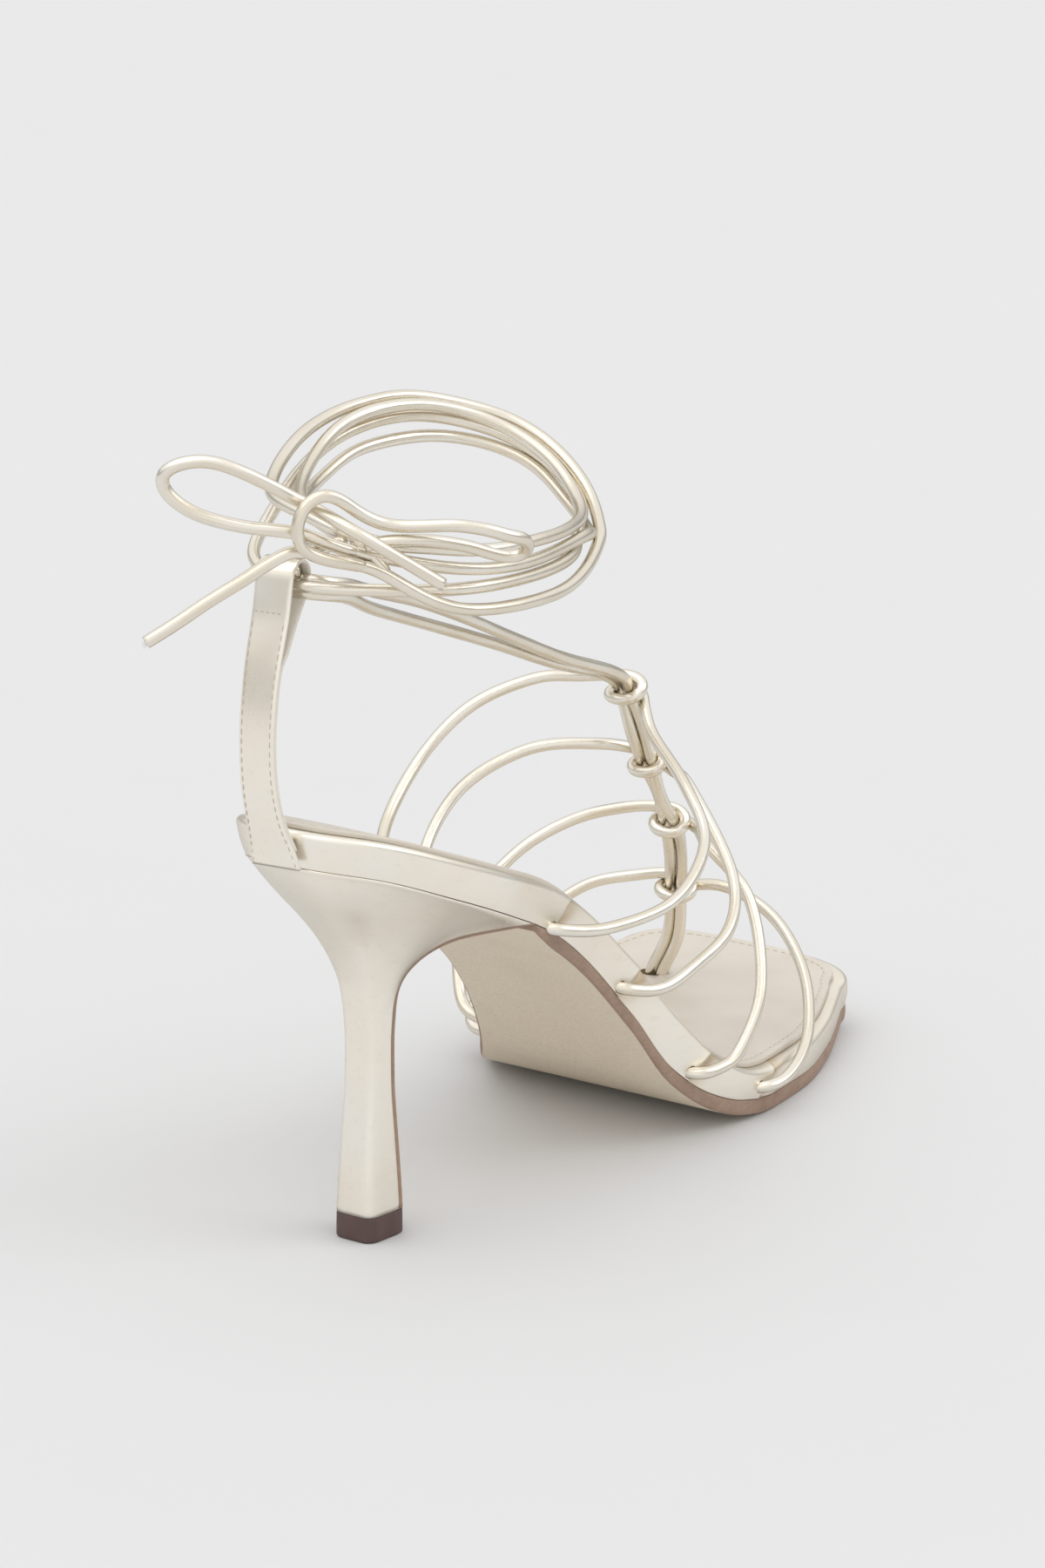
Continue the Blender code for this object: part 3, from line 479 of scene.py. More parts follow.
class Shape:
    """Points and faces gathered into one piece, with a finish number for each face."""

    def __init__(self):
        self.points = []
        self.faces = []
        self.finish = []
        self.lie = []

    def add(self, points, faces=(), finish=0, lie=None):
        points = np.asarray(points, float).reshape(-1, 3)
        start = len(self.points)
        self.points.extend(points.tolist())
        for face in faces:
            self.face([start + k for k in face], finish)
        lie = np.zeros_like(points) if lie is None else np.asarray(lie, float).reshape(-1, 3)
        self.lie.extend(lie.tolist())
        return start

    def face(self, corners, finish=0):
        self.faces.append(list(corners))
        self.finish.append(finish)

    def bridge(self, first, second, count, finish=0):
        """A ring of faces from one loop of points to another, each given by its first point."""
        for k in range(count):
            after = (k + 1) % count
            self.face((first + k, first + after, second + after, second + k), finish)

    def tube(self, rings, finish=0):
        """A closed tube through rings of as many points each."""
        count = len(rings[0])
        start = self.add(rings, grid_faces(len(rings), count, True), finish)
        for end in (start, len(self.points) - count):
            self.face(range(end, end + count), finish)

    def mesh(self, name, finishes, smooth=True):
        """The mesh in the frame's metres, its twin points made one and its faces turned out."""
        mesh = bpy.data.meshes.new(name)
        mesh.from_pydata(place(self.points).tolist(), [], self.faces)
        mesh.polygons.foreach_set("material_index", self.finish)
        lie = mesh.attributes.new("lie", "FLOAT_VECTOR", "POINT")
        lie.data.foreach_set("vector", np.array(self.lie, np.float32).ravel())
        for finish in finishes:
            mesh.materials.append(finish)
        work = bmesh.new()
        work.from_mesh(mesh)
        bmesh.ops.remove_doubles(work, verts=work.verts, dist=TWIN)
        bmesh.ops.recalc_face_normals(work, faces=work.faces)
        if work.calc_volume(signed=True) < 0:
            bmesh.ops.reverse_faces(work, faces=work.faces)
        for face in work.faces:
            face.smooth = smooth
        work.to_mesh(mesh)
        work.free()
        return mesh

    def build(self, name, finishes, slot, replaces=()):
        made = put(name, self.mesh(name, finishes))
        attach(made, "root")
        if replaces:
            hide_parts(*replaces)
        return made


# ---------------------------------------------------------------- finishes


class Wire:
    """A value in a finish. Sums, differences, products and powers of it add Math nodes."""

    def __init__(self, nodes, socket):
        self.nodes = nodes
        self.socket = socket

    def math(self, operation, first, second, clamp=False):
        settings = {"operation": operation, "use_clamp": clamp}
        return self.nodes.add("ShaderNodeMath", settings, {0: first, 1: second})

    def __add__(self, other):
        return self.math("ADD", self, other)

    __radd__ = __add__

    def __mul__(self, other):
        return self.math("MULTIPLY", self, other)

    __rmul__ = __mul__

    def __sub__(self, other):
        return self.math("SUBTRACT", self, other)

    def __rsub__(self, other):
        return self.math("SUBTRACT", other, self)

    def __pow__(self, other):
        return self.math("POWER", self, other)

    def __rpow__(self, other):
        return self.math("POWER", other, self)

    def clamped(self):
        return self.math("ADD", self, 0.0, clamp=True)

    def band(self, low, high):
        """0 below low, 1 above high, straight between them."""
        inputs = {"Value": self, "From Min": low, "From Max": high}
        return self.nodes.add("ShaderNodeMapRange", {"clamp": True}, inputs)


class Nodes:
    """The nodes of one material or of the room."""

    def __init__(self, tree):
        self.tree = tree

    def add(self, kind, settings, inputs, out=0):
        """A node of this kind, its settings made first, then its sockets; out names its result."""
        node = self.tree.nodes.new(kind)
        for name, value in settings.items():
            setattr(node, name, value)
        for name, value in inputs.items():
            self.feed(node.inputs[name], value)
        return Wire(self, node.outputs[out])

    def feed(self, socket, value):
        if isinstance(value, Wire):
            self.tree.links.new(value.socket, socket)
        elif socket.type == "RGBA":
            socket.default_value = (*value, 1.0)
        else:
            socket.default_value = value


class Finish(Nodes):
    """A material under a maker's name, with its Principled shader at hand."""

    def __init__(self, name, **fixed):
        self.material = bpy.data.materials.new(name)
        self.material.use_nodes = True
        super().__init__(self.material.node_tree)
        self.shader = self.tree.nodes["Principled BSDF"]
        for socket, value in fixed.items():
            self.set(socket.replace("_", " ").title().replace("Ior", "IOR"), value)

    def set(self, name, value):
        self.feed(self.shader.inputs[name], value)

    def mix(self, first, second, factor):
        return self.add("ShaderNodeMix", {"data_type": "RGBA"}, {0: factor, 6: first, 7: second}, out=2)

    def stretched(self, vector, scale):
        return self.add("ShaderNodeVectorMath", {"operation": "MULTIPLY"}, {0: vector, 1: scale})

    def on_shoe(self, scale=(1.0, 1.0, 1.0)):
        """The place on the shoe in millimetres, times scale along each axis."""
        spot = self.add("ShaderNodeTexCoord", {}, {}, out="Object")
        return self.stretched(spot, tuple(part / MM for part in scale))

    def marked(self, out):
        """What a piece's own lie holds: the place on a cord laid straight, or how much painted crease shade
        the foil takes beside a slit.
        """
        return self.add("ShaderNodeAttribute", {"attribute_name": "lie"}, {}, out)

    def noise(self, vector, size, detail, rough, warp=0.0):
        inputs = {"Vector": vector, "Scale": size, "Detail": detail, "Roughness": rough}
        return self.add("ShaderNodeTexNoise", {}, {**inputs, "Distortion": warp})

    def cells(self, vector, size):
        return self.add("ShaderNodeTexVoronoi", {}, {"Vector": vector, "Scale": size})

    def outline_shade_mask(self):
        """Painted shade mask: 0 where the surface faces the eye, rising towards 1 at its outline."""
        facing = self.add("ShaderNodeLayerWeight", {}, {"Blend": 0.5}, out="Facing")
        return facing.band(0.35, 1.0) ** 1.5

    def made(self, colour, rough, *layers):
        """The material: its colour, its roughness and its (height, depth in millimetres, strength) bumps."""
        self.set("Base Color", colour)
        self.set("Roughness", rough)
        under = {}
        for height, depth, strength in layers:
            inputs = {"Height": height, "Distance": depth * MM, "Strength": strength, **under}
            under = {"Normal": self.add("ShaderNodeBump", {}, inputs)}
        self.set("Normal", under["Normal"])
        return self.material


PALE_GOLD = (0.80, 0.73, 0.61)
DEEP_GOLD = (0.62, 0.54, 0.40)
WHITE_GOLD = (0.87, 0.83, 0.75)
LEATHER_GOLD = (0.94, 0.875, 0.765)
LEATHER_WHITE = (0.96, 0.925, 0.85)
# painted shade that darkens a foil towards its outline
OUTLINE_SHADE_GOLD = (0.42, 0.37, 0.27)
# painted golden shade in the crease beside each slit of the platform
CREASE_SHADE_GOLD = (0.56, 0.42, 0.24)


def foil_leather(name, rough, grain):
    """Foil laid over fine leather: a mirror softened by the grain and rubbed, with painted golden shade in
    the creases beside its slits and painted shade towards its outline.
    """
    finish = Finish(name, metallic=1.0)
    near = finish.on_shoe()
    clouds = finish.noise(near, 0.045, 3.0, 0.55)
    rubs = finish.noise(finish.on_shoe((0.5, 0.12, 0.5)), 1.3, 4.0, 0.6).band(0.56, 0.72)
    pores = finish.cells(near, 2.4)
    pebble = finish.noise(near, 3.2, 3.0, 0.6)
    colour = finish.mix(LEATHER_GOLD, LEATHER_WHITE, clouds.band(0.35, 0.7))
    colour = finish.mix(colour, DEEP_GOLD, (rubs * 0.10 + pebble.band(0.55, 0.8) * 0.06).clamped())
    # painted shade: the foil darkens towards its outline
    colour = finish.mix(colour, OUTLINE_SHADE_GOLD, finish.outline_shade_mask() * 0.7)
    # painted shade: golden crease shade beside the slits, carried in the lie attribute
    slit_crease_shade = finish.marked("Fac")
    colour = finish.mix(colour, CREASE_SHADE_GOLD, (slit_crease_shade * 2.4).clamped() * 0.8)
    rough = rough + clouds * 0.08 + rubs * 0.10 + pebble * 0.06
    pebbled = (pebble, 0.018 * grain, 0.5)
    return finish.made(colour, rough, (clouds, 0.35, 0.35), pebbled, (pores, 0.012 * grain, 0.4))


def cord_foil():
    """Foil wrapped round a cord: drawn wrinkles along it, and fine cracks where it bends."""
    finish = Finish("cord_foil", metallic=1.0)
    lie = finish.marked("Vector")
    wrinkles = finish.noise(finish.stretched(lie, (1.0, 1.0, 0.09)), 1.5, 4.0, 0.6, 0.3)
    slow = finish.noise(finish.stretched(lie, (0.5, 0.5, 0.05)), 1.0, 2.0, 0.5)
    cracks = finish.noise(finish.stretched(lie, (0.6, 0.6, 2.2)), 1.2, 4.0, 0.65).band(0.6, 0.75)
    colour = finish.mix(WHITE_GOLD, PALE_GOLD, slow.band(0.35, 0.65))
    worn = (cracks * 0.25 + wrinkles.band(0.58, 0.8) * 0.25).clamped()
    colour = finish.mix(colour, DEEP_GOLD, worn)
    # painted shade: the cord darkens towards its outline
    colour = finish.mix(colour, OUTLINE_SHADE_GOLD, finish.outline_shade_mask() * 0.8)
    rough = 0.2 + slow * 0.08 + cracks * 0.12
    return finish.made(colour, rough, (wrinkles, 0.10, 0.45), (cracks, 0.02, 0.3))


def sock_leather():
    finish = Finish("sock_leather", metallic=0.35)
    near = finish.on_shoe()
    clouds = finish.noise(near, 0.06, 3.0, 0.55)
    grain = finish.cells(near, 1.9)
    fine = finish.noise(near, 4.5, 3.0, 0.6)
    colour = finish.mix((0.665, 0.61, 0.535), (0.72, 0.67, 0.595), clouds.band(0.3, 0.7))
    colour = finish.mix(colour, (0.46, 0.41, 0.35), fine.band(0.56, 0.8) * 0.35)
    rough = 0.40 + clouds * 0.1 + grain * 0.08
    return finish.made(colour, rough, (clouds, 0.3, 0.3), (grain, 0.03, 0.5), (fine, 0.02, 0.4))


# Plain stuffs: the noise's (size, detail, roughness), dark and light colour, (roughness, what the noise
# adds), the bump's (depth, strength), (specular, metallic)
PLAIN = {
    # the cream split leather on the back of the strap's foil, seen at its edges
    "strap_backing": (
        (3.0, 4.0, 0.65), (0.74, 0.69, 0.60), (0.88, 0.84, 0.77), (0.6, 0.2), (0.06, 0.5), (0.3, 0.0),
    ),
    "sewing_thread": (
        (5.0, 2.0, 0.5), (0.50, 0.44, 0.34), (0.66, 0.60, 0.49), (0.5, 0.2), (0.08, 0.5), (0.4, 0.0),
    ),
    # the golden-brown turned edge that shows inside each slit of the platform
    "slit_lining": (
        (0.9, 3.0, 0.6), (0.33, 0.235, 0.115), (0.56, 0.45, 0.28), (0.36, 0.25), (0.1, 0.5), (0.5, 0.75),
    ),
    # the pale fibres inside a cord, seen where it is cut
    "cord_core": (
        (6.0, 3.0, 0.6), (0.50, 0.47, 0.42), (0.78, 0.75, 0.70), (0.8, 0.15), (0.1, 0.6), (0.2, 0.0),
    ),
    "floor_card": (
        (0.02, 3.0, 0.5), (0.682, 0.684, 0.692), (0.692, 0.694, 0.702), (0.75, 0.1), (0.05, 0.1), (0.15, 0.0),
    ),
}


def plain_finish(name):
    """A plain stuff: one noise mottles its colour, its roughness and its surface."""
    noise, dark, light, (rough, rougher), bump, (specular, metallic) = PLAIN[name]
    finish = Finish(name, specular_ior_level=specular, metallic=metallic)
    mottle = finish.noise(finish.on_shoe(), *noise)
    return finish.made(finish.mix(dark, light, mottle), rough + mottle * rougher, (mottle, *bump))


def sole_sheet():
    """The beige sheet under the shoe, with its fine printed pebble."""
    finish = Finish("sole_sheet", specular_ior_level=0.35)
    near = finish.on_shoe()
    speckle = finish.noise(near, 1.6, 4.0, 0.7)
    clouds = finish.noise(near, 0.05, 3.0, 0.5)
    pebble = finish.cells(near, 1.1)
    colour = finish.mix((0.71, 0.615, 0.48), (0.80, 0.705, 0.565), speckle.band(0.38, 0.62))
    colour = finish.mix(colour, (0.60, 0.51, 0.385), clouds.band(0.5, 0.75) * 0.3)
    rough = 0.48 + speckle * 0.2
    return finish.made(colour, rough, (pebble, 0.06, 0.5), (speckle, 0.06, 0.5))


def edge_paint():
    """Brown edge paint, with the layers of the sole just showing through."""
    finish = Finish("edge_paint", specular_ior_level=0.45)
    layers = finish.noise(finish.on_shoe((0.25, 0.25, 1.0)), 1.4, 3.0, 0.6)
    blots = finish.noise(finish.on_shoe(), 0.35, 4.0, 0.6)
    colour = finish.mix((0.31, 0.208, 0.148), (0.37, 0.258, 0.195), layers.band(0.3, 0.7))
    colour = finish.mix(colour, (0.26, 0.17, 0.125), blots.band(0.5, 0.7) * 0.5)
    rough = 0.5 + blots * 0.2
    return finish.made(colour, rough, (layers, 0.05, 0.4), (blots, 0.08, 0.4))


def top_piece_rubber():
    finish = Finish("top_piece_rubber", specular_ior_level=0.4)
    grain = finish.noise(finish.on_shoe(), 2.6, 4.0, 0.65)
    smears = finish.noise(finish.on_shoe((1.0, 1.0, 0.3)), 0.35, 3.0, 0.5)
    colour = finish.mix((0.075, 0.044, 0.042), (0.125, 0.078, 0.072), smears)
    rough = 0.45 + grain * 0.2
    return finish.made(colour, rough, (grain, 0.05, 0.4))


# ---------------------------------------------------------------- studio


def set_camera():
    data = bpy.data.cameras.new("studio_camera")
    data.sensor_fit = "AUTO"
    data.sensor_width = 36.0
    data.lens = LENS
    data.clip_start = 0.05
    data.clip_end = 50.0
    camera = put("studio_camera", data)
    pose = Matrix.Translation(CAMERA)
    for degrees, axis in (
        (CAMERA_HEADING - AIM_RIGHT, "Z"),
        (90 - CAMERA_DIP - AIM_DOWN, "X"),
        (CAMERA_TILT, "Z"),
    ):
        pose = pose @ Matrix.Rotation(np.radians(degrees), 4, axis)
    camera.matrix_world = pose
    bpy.context.scene.camera = camera


def soft_sun(name, heading, height, spread, strength):
    """A broad, distant lamp: its heading and height over the floor in degrees."""
    data = bpy.data.lights.new(name, "SUN")
    data.angle = np.radians(spread)
    data.energy = strength
    level = np.cos(np.radians(height))
    around = np.radians(heading)
    away = (np.cos(around) * level, np.sin(around) * level, np.sin(np.radians(height)))
    put(name, data).rotation_euler = Vector(away).to_track_quat("Z", "Y").to_euler()


def light_studio():
    """A white room, dimmer low down on its sides, and two broad lamps."""
    world = bpy.data.worlds.new("studio_air")
    world.use_nodes = True
    room = Nodes(world.node_tree)
    looking = room.add("ShaderNodeTexCoord", {}, {}, out="Generated")
    settings = {"operation": "DOT_PRODUCT"}
    facing = room.add("ShaderNodeVectorMath", settings, {0: looking, 1: FACING}, out="Value")
    high = room.add("ShaderNodeSeparateXYZ", {}, {0: looking}, out="Z")
    lit = facing.math("MAXIMUM", facing.band(0.35, 0.95), high.band(0.08, 0.42))
    air = room.tree.nodes["Background"]
    room.feed(air.inputs["Color"], (1.0, 0.995, 0.985))
    room.feed(air.inputs["Strength"], ROOM * (DIM + (1 - DIM) * lit))
    bpy.context.scene.world = world
    bpy.context.scene.view_settings.view_transform = "Standard"
    soft_sun("overhead", 80.0, 68.0, 70.0, 0.55)
    soft_sun("side", 205.0, 38.0, 35.0, 0.35)


def lay_floor():
    mesh = bpy.data.meshes.new("floor")
    corners = [(x * FLOOR_REACH, y * FLOOR_REACH, 0.0) for x, y in ((-1, -1), (1, -1), (1, 1), (-1, 1))]
    mesh.from_pydata(corners, [], [(0, 1, 2, 3)])
    mesh.materials.append(plain_finish("floor_card"))
    floor = put("floor", mesh)


# ---------------------------------------------------------------- cords


def spine_frames():
    """(down the spine, to the little-toe side, away from the foot) at each point of its route."""
    ahead = unit(np.gradient(np.array(SPINE), axis=0))
    aside = unit(np.array((0.0, 1.0, 0.0)) - ahead * ahead[:, 1:2])
    return ahead, aside, np.cross(ahead, aside)


def hitch_line(at):
    """The turn and a bit that a rib takes round the two cords of the spine, looser round the ties."""
    loose = TIE_LOOSE if at == 0 else 1.0
    ahead, aside, outward = (part[at] for part in spine_frames())
    angle = np.radians(np.linspace(HITCH_START, HITCH_END, 40))
    over = (CORD + 0.1) * loose**0.4
    beside = SPINE_APART / 2 * np.clip(2.5 * np.cos(angle), -1, 1) + over * np.cos(angle)
    out = over * np.sin(angle)
    down = loose * (HITCH_RISE + HITCH_PITCH * (angle[0] - angle) / TURN)
    return SPINE[at] + beside[:, None] * aside + out[:, None] * outward + down[:, None] * ahead


def lay_cords():
    """Every cord's middle line before the cords settle."""
    cords = {}
    _, aside, outward = spine_frames()
    for name, tie in TIES.items():
        shift = SPINE_APART / 2 * (1 if name == "little_side" else -1)
        route = list(tie)
        for k, point in enumerate(SPINE):
            turn = SPINE_TWIST * (0, 1, 0, -1)[k % 4] if k < 7 else 0.0
            off = shift * (np.cos(turn) * aside[k] + np.sin(turn) * outward[k])
            route.append(tuple(np.add(point, off) + (0.0, 0.0, 0.0 if k else TIE_RISE)))
        cords["tie_and_spine_" + name] = spline(route, 1.0, 6)
    for name, (knot, big_half, little_half) in RIBS.items():
        cords[name] = spline(np.vstack((big_half, hitch_line(knot)[::4], little_half)), 1.0, 4)
    for name, route in TURNS.items():
        close, loose = (spline(route, 1.0, smooth) for smooth in (2, 30))
        ease = held_at_ends(len(close), 5, 8)[:, None]
        cords[name] = close + ease * (loose - close)
    for name, route in BOW.items():
        cords[name] = spline(route, 1.0, 2)
    return cords


def held_at_ends(count, held, ease):
    """0 at the points held at both ends of a line, then easing up to 1 over the next ones."""
    run = np.arange(count)
    return np.clip((np.minimum(run, run[::-1]) - held) / ease, 0, 1)


def settle(cords):
    """Pushes cords that meet apart until they lie against one another, near their routes."""
    names = list(cords)
    line = np.vstack([cords[name] for name in names])
    owner = np.concatenate([[k] * len(cords[name]) for k, name in enumerate(names)])
    run = np.concatenate([np.arange(len(cords[name])) for name in names])
    free = np.ones(len(line))
    for k, name in enumerate(names):
        own = owner == k
        if name in BOW:
            free[own] = 0.0
        elif name in RIBS:
            free[own] = held_at_ends(own.sum(), 8, 12)
        elif name in TURNS and name != "turn_through_loop":
            free[own] = held_at_ends(own.sum(), 10, 12)
    near = np.linalg.norm(line[:, None] - line[None], axis=2) < SETTLE_REACH
    near &= ~((owner[:, None] == owner[None]) & (abs(run[:, None] - run[None]) < OWN_NEIGHBOURS))
    first, second = np.nonzero(np.triu(near))
    inner = np.nonzero((owner[1:-1] == owner[:-2]) & (owner[1:-1] == owner[2:]))[0] + 1
    shift = np.zeros_like(line)
    for _ in range(SETTLE_ROUNDS):
        apart = line[first] + shift[first] - line[second] - shift[second]
        far = np.linalg.norm(apart, axis=1)
        press = np.clip(CORD * TOUCH - far, 0, None)
        share = np.maximum(free[first] + free[second], 1e-6)
        push = apart * (press / np.maximum(far, 1e-6) / share)[:, None]
        np.add.at(shift, first, push * free[first][:, None] * SETTLE_PUSH)
        np.add.at(shift, second, -push * free[second][:, None] * SETTLE_PUSH)
        for _ in range(2):
            shift[inner] += 0.5 * (0.5 * (shift[inner - 1] + shift[inner + 1]) - shift[inner])
        shift *= SETTLE_EASE * free[:, None] ** 0.05
    return {name: (line + shift)[owner == k] for k, name in enumerate(names)}


def run_on(cords, one, other):
    """Lets one cord's end and another's start run on as one cord."""
    before, after = cords[one][:-4], cords[other][3:]
    whole = np.vstack((before, evened(np.vstack((before[-1], after[0])), 1.0)[1:-1], after))
    joint = len(before) + 1
    ease = np.clip(1.4 - abs(np.arange(len(whole)) - joint) / JOIN_EASE, 0, 1)[1:-1, None]
    for _ in range(JOIN_ROUNDS):
        whole[1:-1] += 0.5 * ease * (0.5 * (whole[:-2] + whole[2:]) - whole[1:-1])
    cords[one] = whole[: joint + 2]
    cords[other] = whole[joint:]


def cord_body(shape, line, seed, cut):
    """A foil cord on a line, with a lapped seam and faint dents; cut shows its core at the last end."""
    random = np.random.default_rng(seed)
    forward, side, other = frames_along(line)
    run = run_along(line)
    angle = np.arange(CORD_SIDES) * TURN / CORD_SIDES
    phase = random.uniform(0, TURN, 4)
    seam = phase[0] + LAP_WANDER * np.sin(run / 23 + phase[1])
    away = np.angle(np.exp(1j * (angle[None] - seam[:, None])))
    radius = CORD / 2 * (1 - LAP_DEPTH * np.exp(-((away / LAP_WIDTH) ** 2)))
    radius += OVAL * np.cos(2 * (angle[None] - phase[2] - run[:, None] / 31))
    radius += SWELL * np.sin(run / 5.3 + phase[3])[:, None]
    for from_end, whole in ((run, False), (run[-1] - run, cut)):
        if not whole:
            radius *= 1 - END_TAPER * np.clip(1 - from_end / 1.6, 0, 1)[:, None] ** 2
    ring = np.cos(angle)[None, :, None] * side[:, None] + np.sin(angle)[None, :, None] * other[:, None]
    flat = (CORD / 2 * np.cos(angle), CORD / 2 * np.sin(angle), (run + 40 * seed)[:, None])
    lie = np.stack([np.broadcast_to(part, radius.shape) for part in flat], -1)
    faces = grid_faces(len(line), CORD_SIDES, True)
    shape.add(line[:, None] + radius[:, :, None] * ring, faces, 0, lie)
    rim_at = (len(line) - 1) * CORD_SIDES
    shape.face(range(CORD_SIDES))
    if not cut:
        shape.face(range(rim_at, rim_at + CORD_SIDES))
        return
    rings = []
    for share, lift in CUT_END:
        rough = 1 + 0.05 * random.standard_normal(CORD_SIDES)
        ragged = 0.04 * random.standard_normal((CORD_SIDES, 1))
        reach = (radius[-1] * share * rough)[:, None] * ring[-1]
        rings.append(line[-1] + forward[-1] * lift + reach + ragged * forward[-1])
    foil = len(shape.finish)
    faces = grid_faces(len(rings), CORD_SIDES, True)
    first = shape.add(rings, faces, 1, np.repeat(lie[-1:], len(rings), axis=0))
    shape.finish[foil : foil + CORD_SIDES] = [0] * CORD_SIDES
    shape.bridge(rim_at, first, CORD_SIDES)
    shape.face(range(len(shape.points) - CORD_SIDES, len(shape.points)), 1)


def frayed_end(line, seed, count):
    """Loose core fibres at a cut end."""
    random = np.random.default_rng(seed)
    forward, side, other = frames_along(line)
    out, across, over = forward[-1], side[-1], other[-1]
    shape = Shape()
    for _ in range(count):
        reach = CORD / 2 * CORE * np.sqrt(random.uniform())
        where = random.uniform(0, TURN)
        foot = line[-1] + reach * (np.cos(where) * across + np.sin(where) * over) - 0.2 * out
        lean = FRAY_LEAN * (np.cos(where) * across + np.sin(where) * over) * random.uniform(0.2, 1.2)
        tall = random.uniform(0.5, 1.5)
        curl = random.standard_normal(3) * FRAY_CURL
        path = np.array([foot + (out + lean) * tall * u + curl * u * u for u in np.linspace(0, 1, 6)])
        _, first, second = frames_along(path)
        thick = FIBRE * (1 - 0.8 * np.arange(6) / 5)
        shape.tube([circle(*ring, 5) for ring in zip(path, first, second, thick)])
    return shape


def make_cords(cords, foil, core):
    made = {}
    for seed, (name, line) in enumerate(cords.items()):
        line = spline(line, CORD_STEP)
        shape = Shape()
        cord_body(shape, line, seed, name in ("bow_left", "bow_end"))
        if name in BOW:
            made[name] = shape.build(BOW_NAMES[name], [foil, core], "cord_gold", [name])
            cords[name] = line
            continue
        # a tie runs on as the spine, so it belongs to both
        nodes = ["cage"] * (name not in TURNS) + ["ankle_lace"] * (name not in RIBS)
        shape.build(name, [foil], "cord_gold", nodes)
    return made


def declare_bow(cords, core):
    fibres = {
        name: [frayed_end(cords[name], *fray).build(side + "_end_fibres", [core], "cord_gold")]
        for name, side, *fray in (("bow_left", "right", 5, 22), ("bow_end", "left", 6, 9))
    }
    for name in BOW:
        line = place(cords[name])


# ---------------------------------------------------------------- sole


def station_row(start=0.0):
    """Closely spaced stations from the seat's back to the toe's tip."""
    seat = SEAT * (1 - np.cos(np.radians(np.arange(0, 90, 3.0))))
    middle = np.arange(SEAT, TOE_ON - 0.1, 2.5)
    toe = TOE_ON + (LENGTH - TOE_ON) * np.sin(np.radians(np.arange(0, 91, 4.5))) ** (2 / TOE_POWER)
    toe[-1] = LENGTH
    row = np.concatenate((seat, middle, toe))
    return row[row >= start] if start else row


def rim(station, grow):
    """(along, little-toe edge, big-toe edge) of the outline at each station, grown by grow."""
    station = np.asarray(station, float)
    grow = np.broadcast_to(grow, station.shape)
    little, big = curve_through(EDGES, station).T
    centre = (little + big) / 2
    half = (little - big) / 2 + grow
    share = np.clip((SEAT - station) / SEAT, 0, 1)
    along = np.where(share > 0, SEAT - share * (SEAT - SEAT_BACK + grow), station)
    big_half = half * (1 - share**SEAT_POWER) ** (1 / SEAT_POWER)
    half = half * np.sqrt(1 - share**2)
    centre = centre + (SEAT_ACROSS - centre) * share
    share = np.clip((station - TOE_ON) / (LENGTH - TOE_ON), 0, 1)
    along = np.where(share > 0, TOE_ON + share * (LENGTH - TOE_ON + grow), along)
    narrow = (1 - share**TOE_POWER) ** (1 / TOE_POWER)
    return along, centre + half * narrow, centre - big_half * narrow


def edge_points(station, grow, rise):
    """(little-toe side, big-toe side) points of the outline, rise over the underside.

    grow is one growth, or a growth for each side.
    """
    sides = []
    for k, share in enumerate(grow if isinstance(grow, tuple) else (grow, grow)):
        along, *edges = rim(station, share)
        sides.append(np.stack((along - SKEW * edges[k], edges[k], underside(along) + rise), -1))
    return sides


def layered(station, rows, columns, edge=(), crown=0.0, back=False, marks=()):
    """A closed piece of sole: loops of outline laid one after another, then filled across both ends.

    rows are (grow, rise) pairs, and edge says which of them have the second finish. crown lifts the
    middle of the last fill, back leaves a straight back edge, and marks hold a value for each point
    of the two sides of each row.
    """
    shape = Shape()
    stop = None if back else -1
    sides = [edge_points(station, *row) for row in rows]
    loops = np.array([np.vstack((little, big[::-1][1:stop])) for little, big in sides])
    lie = np.zeros_like(loops)
    for row, (little, big) in enumerate(marks):
        lie[row, :, 0] = np.concatenate((little, big[::-1][1:stop]))
    shape.add(loops, lie=lie)
    count = loops.shape[1]
    for row in range(len(rows) - 1):
        shape.bridge(row * count, (row + 1) * count, count, int(row in edge))
    n = len(station)
    share = np.linspace(0, 1, columns + 1)
    fade = np.clip(np.minimum(station, LENGTH - station) / 30, 0, 1)
    for loop, lift in ((loops[0], 0.0), (loops[-1], crown)):
        little = loop[:n]
        big = np.vstack((little[: 0 if back else 1], loop[n:][::-1], little[-1:]))
        grid = little[:, None] * (1 - share)[None, :, None] + big[:, None] * share[None, :, None]
        grid[:, :, 2] += (lift * np.sin(np.pi * share))[None] * fade[:, None]
        shape.add(grid, grid_faces(n, columns + 1, False))
    return shape


def rib_entries(side):
    """The stations where ribs enter the platform on one side, 1 little-toe and -1 big-toe."""
    points = [little[-2] if side > 0 else big[1] for _, big, little in RIBS.values()]
    return [along + SKEW * across for along, across, _ in points]


def slit_dent(station, side, climb):
    """(how far the side is pressed in beside its slits, how much painted crease shade it takes there) at a
    height share.
    """
    dent = np.zeros_like(station)
    crease_shade = np.zeros_like(station)
    for entry in rib_entries(side):
        past = station - entry - SLIT_START - SLIT_SLANT * climb
        step = np.clip((past + 0.2) / 0.4, 0, 1)
        dent += SLIT_DEPTH * (1 - 0.3 * climb) * step * np.exp(-np.maximum(past, 0) / SLIT_RAMP)
        dent -= 0.25 * (1 - step) * np.exp(np.minimum(past, 0) / 3.0)
        # painted crease shade, fading away from the slit
        crease_shade += step * np.exp(-((np.maximum(past, 0) / (SLIT_SHADE_SPREAD * (1 + 0.5 * climb))) ** 2))
    return dent, crease_shade


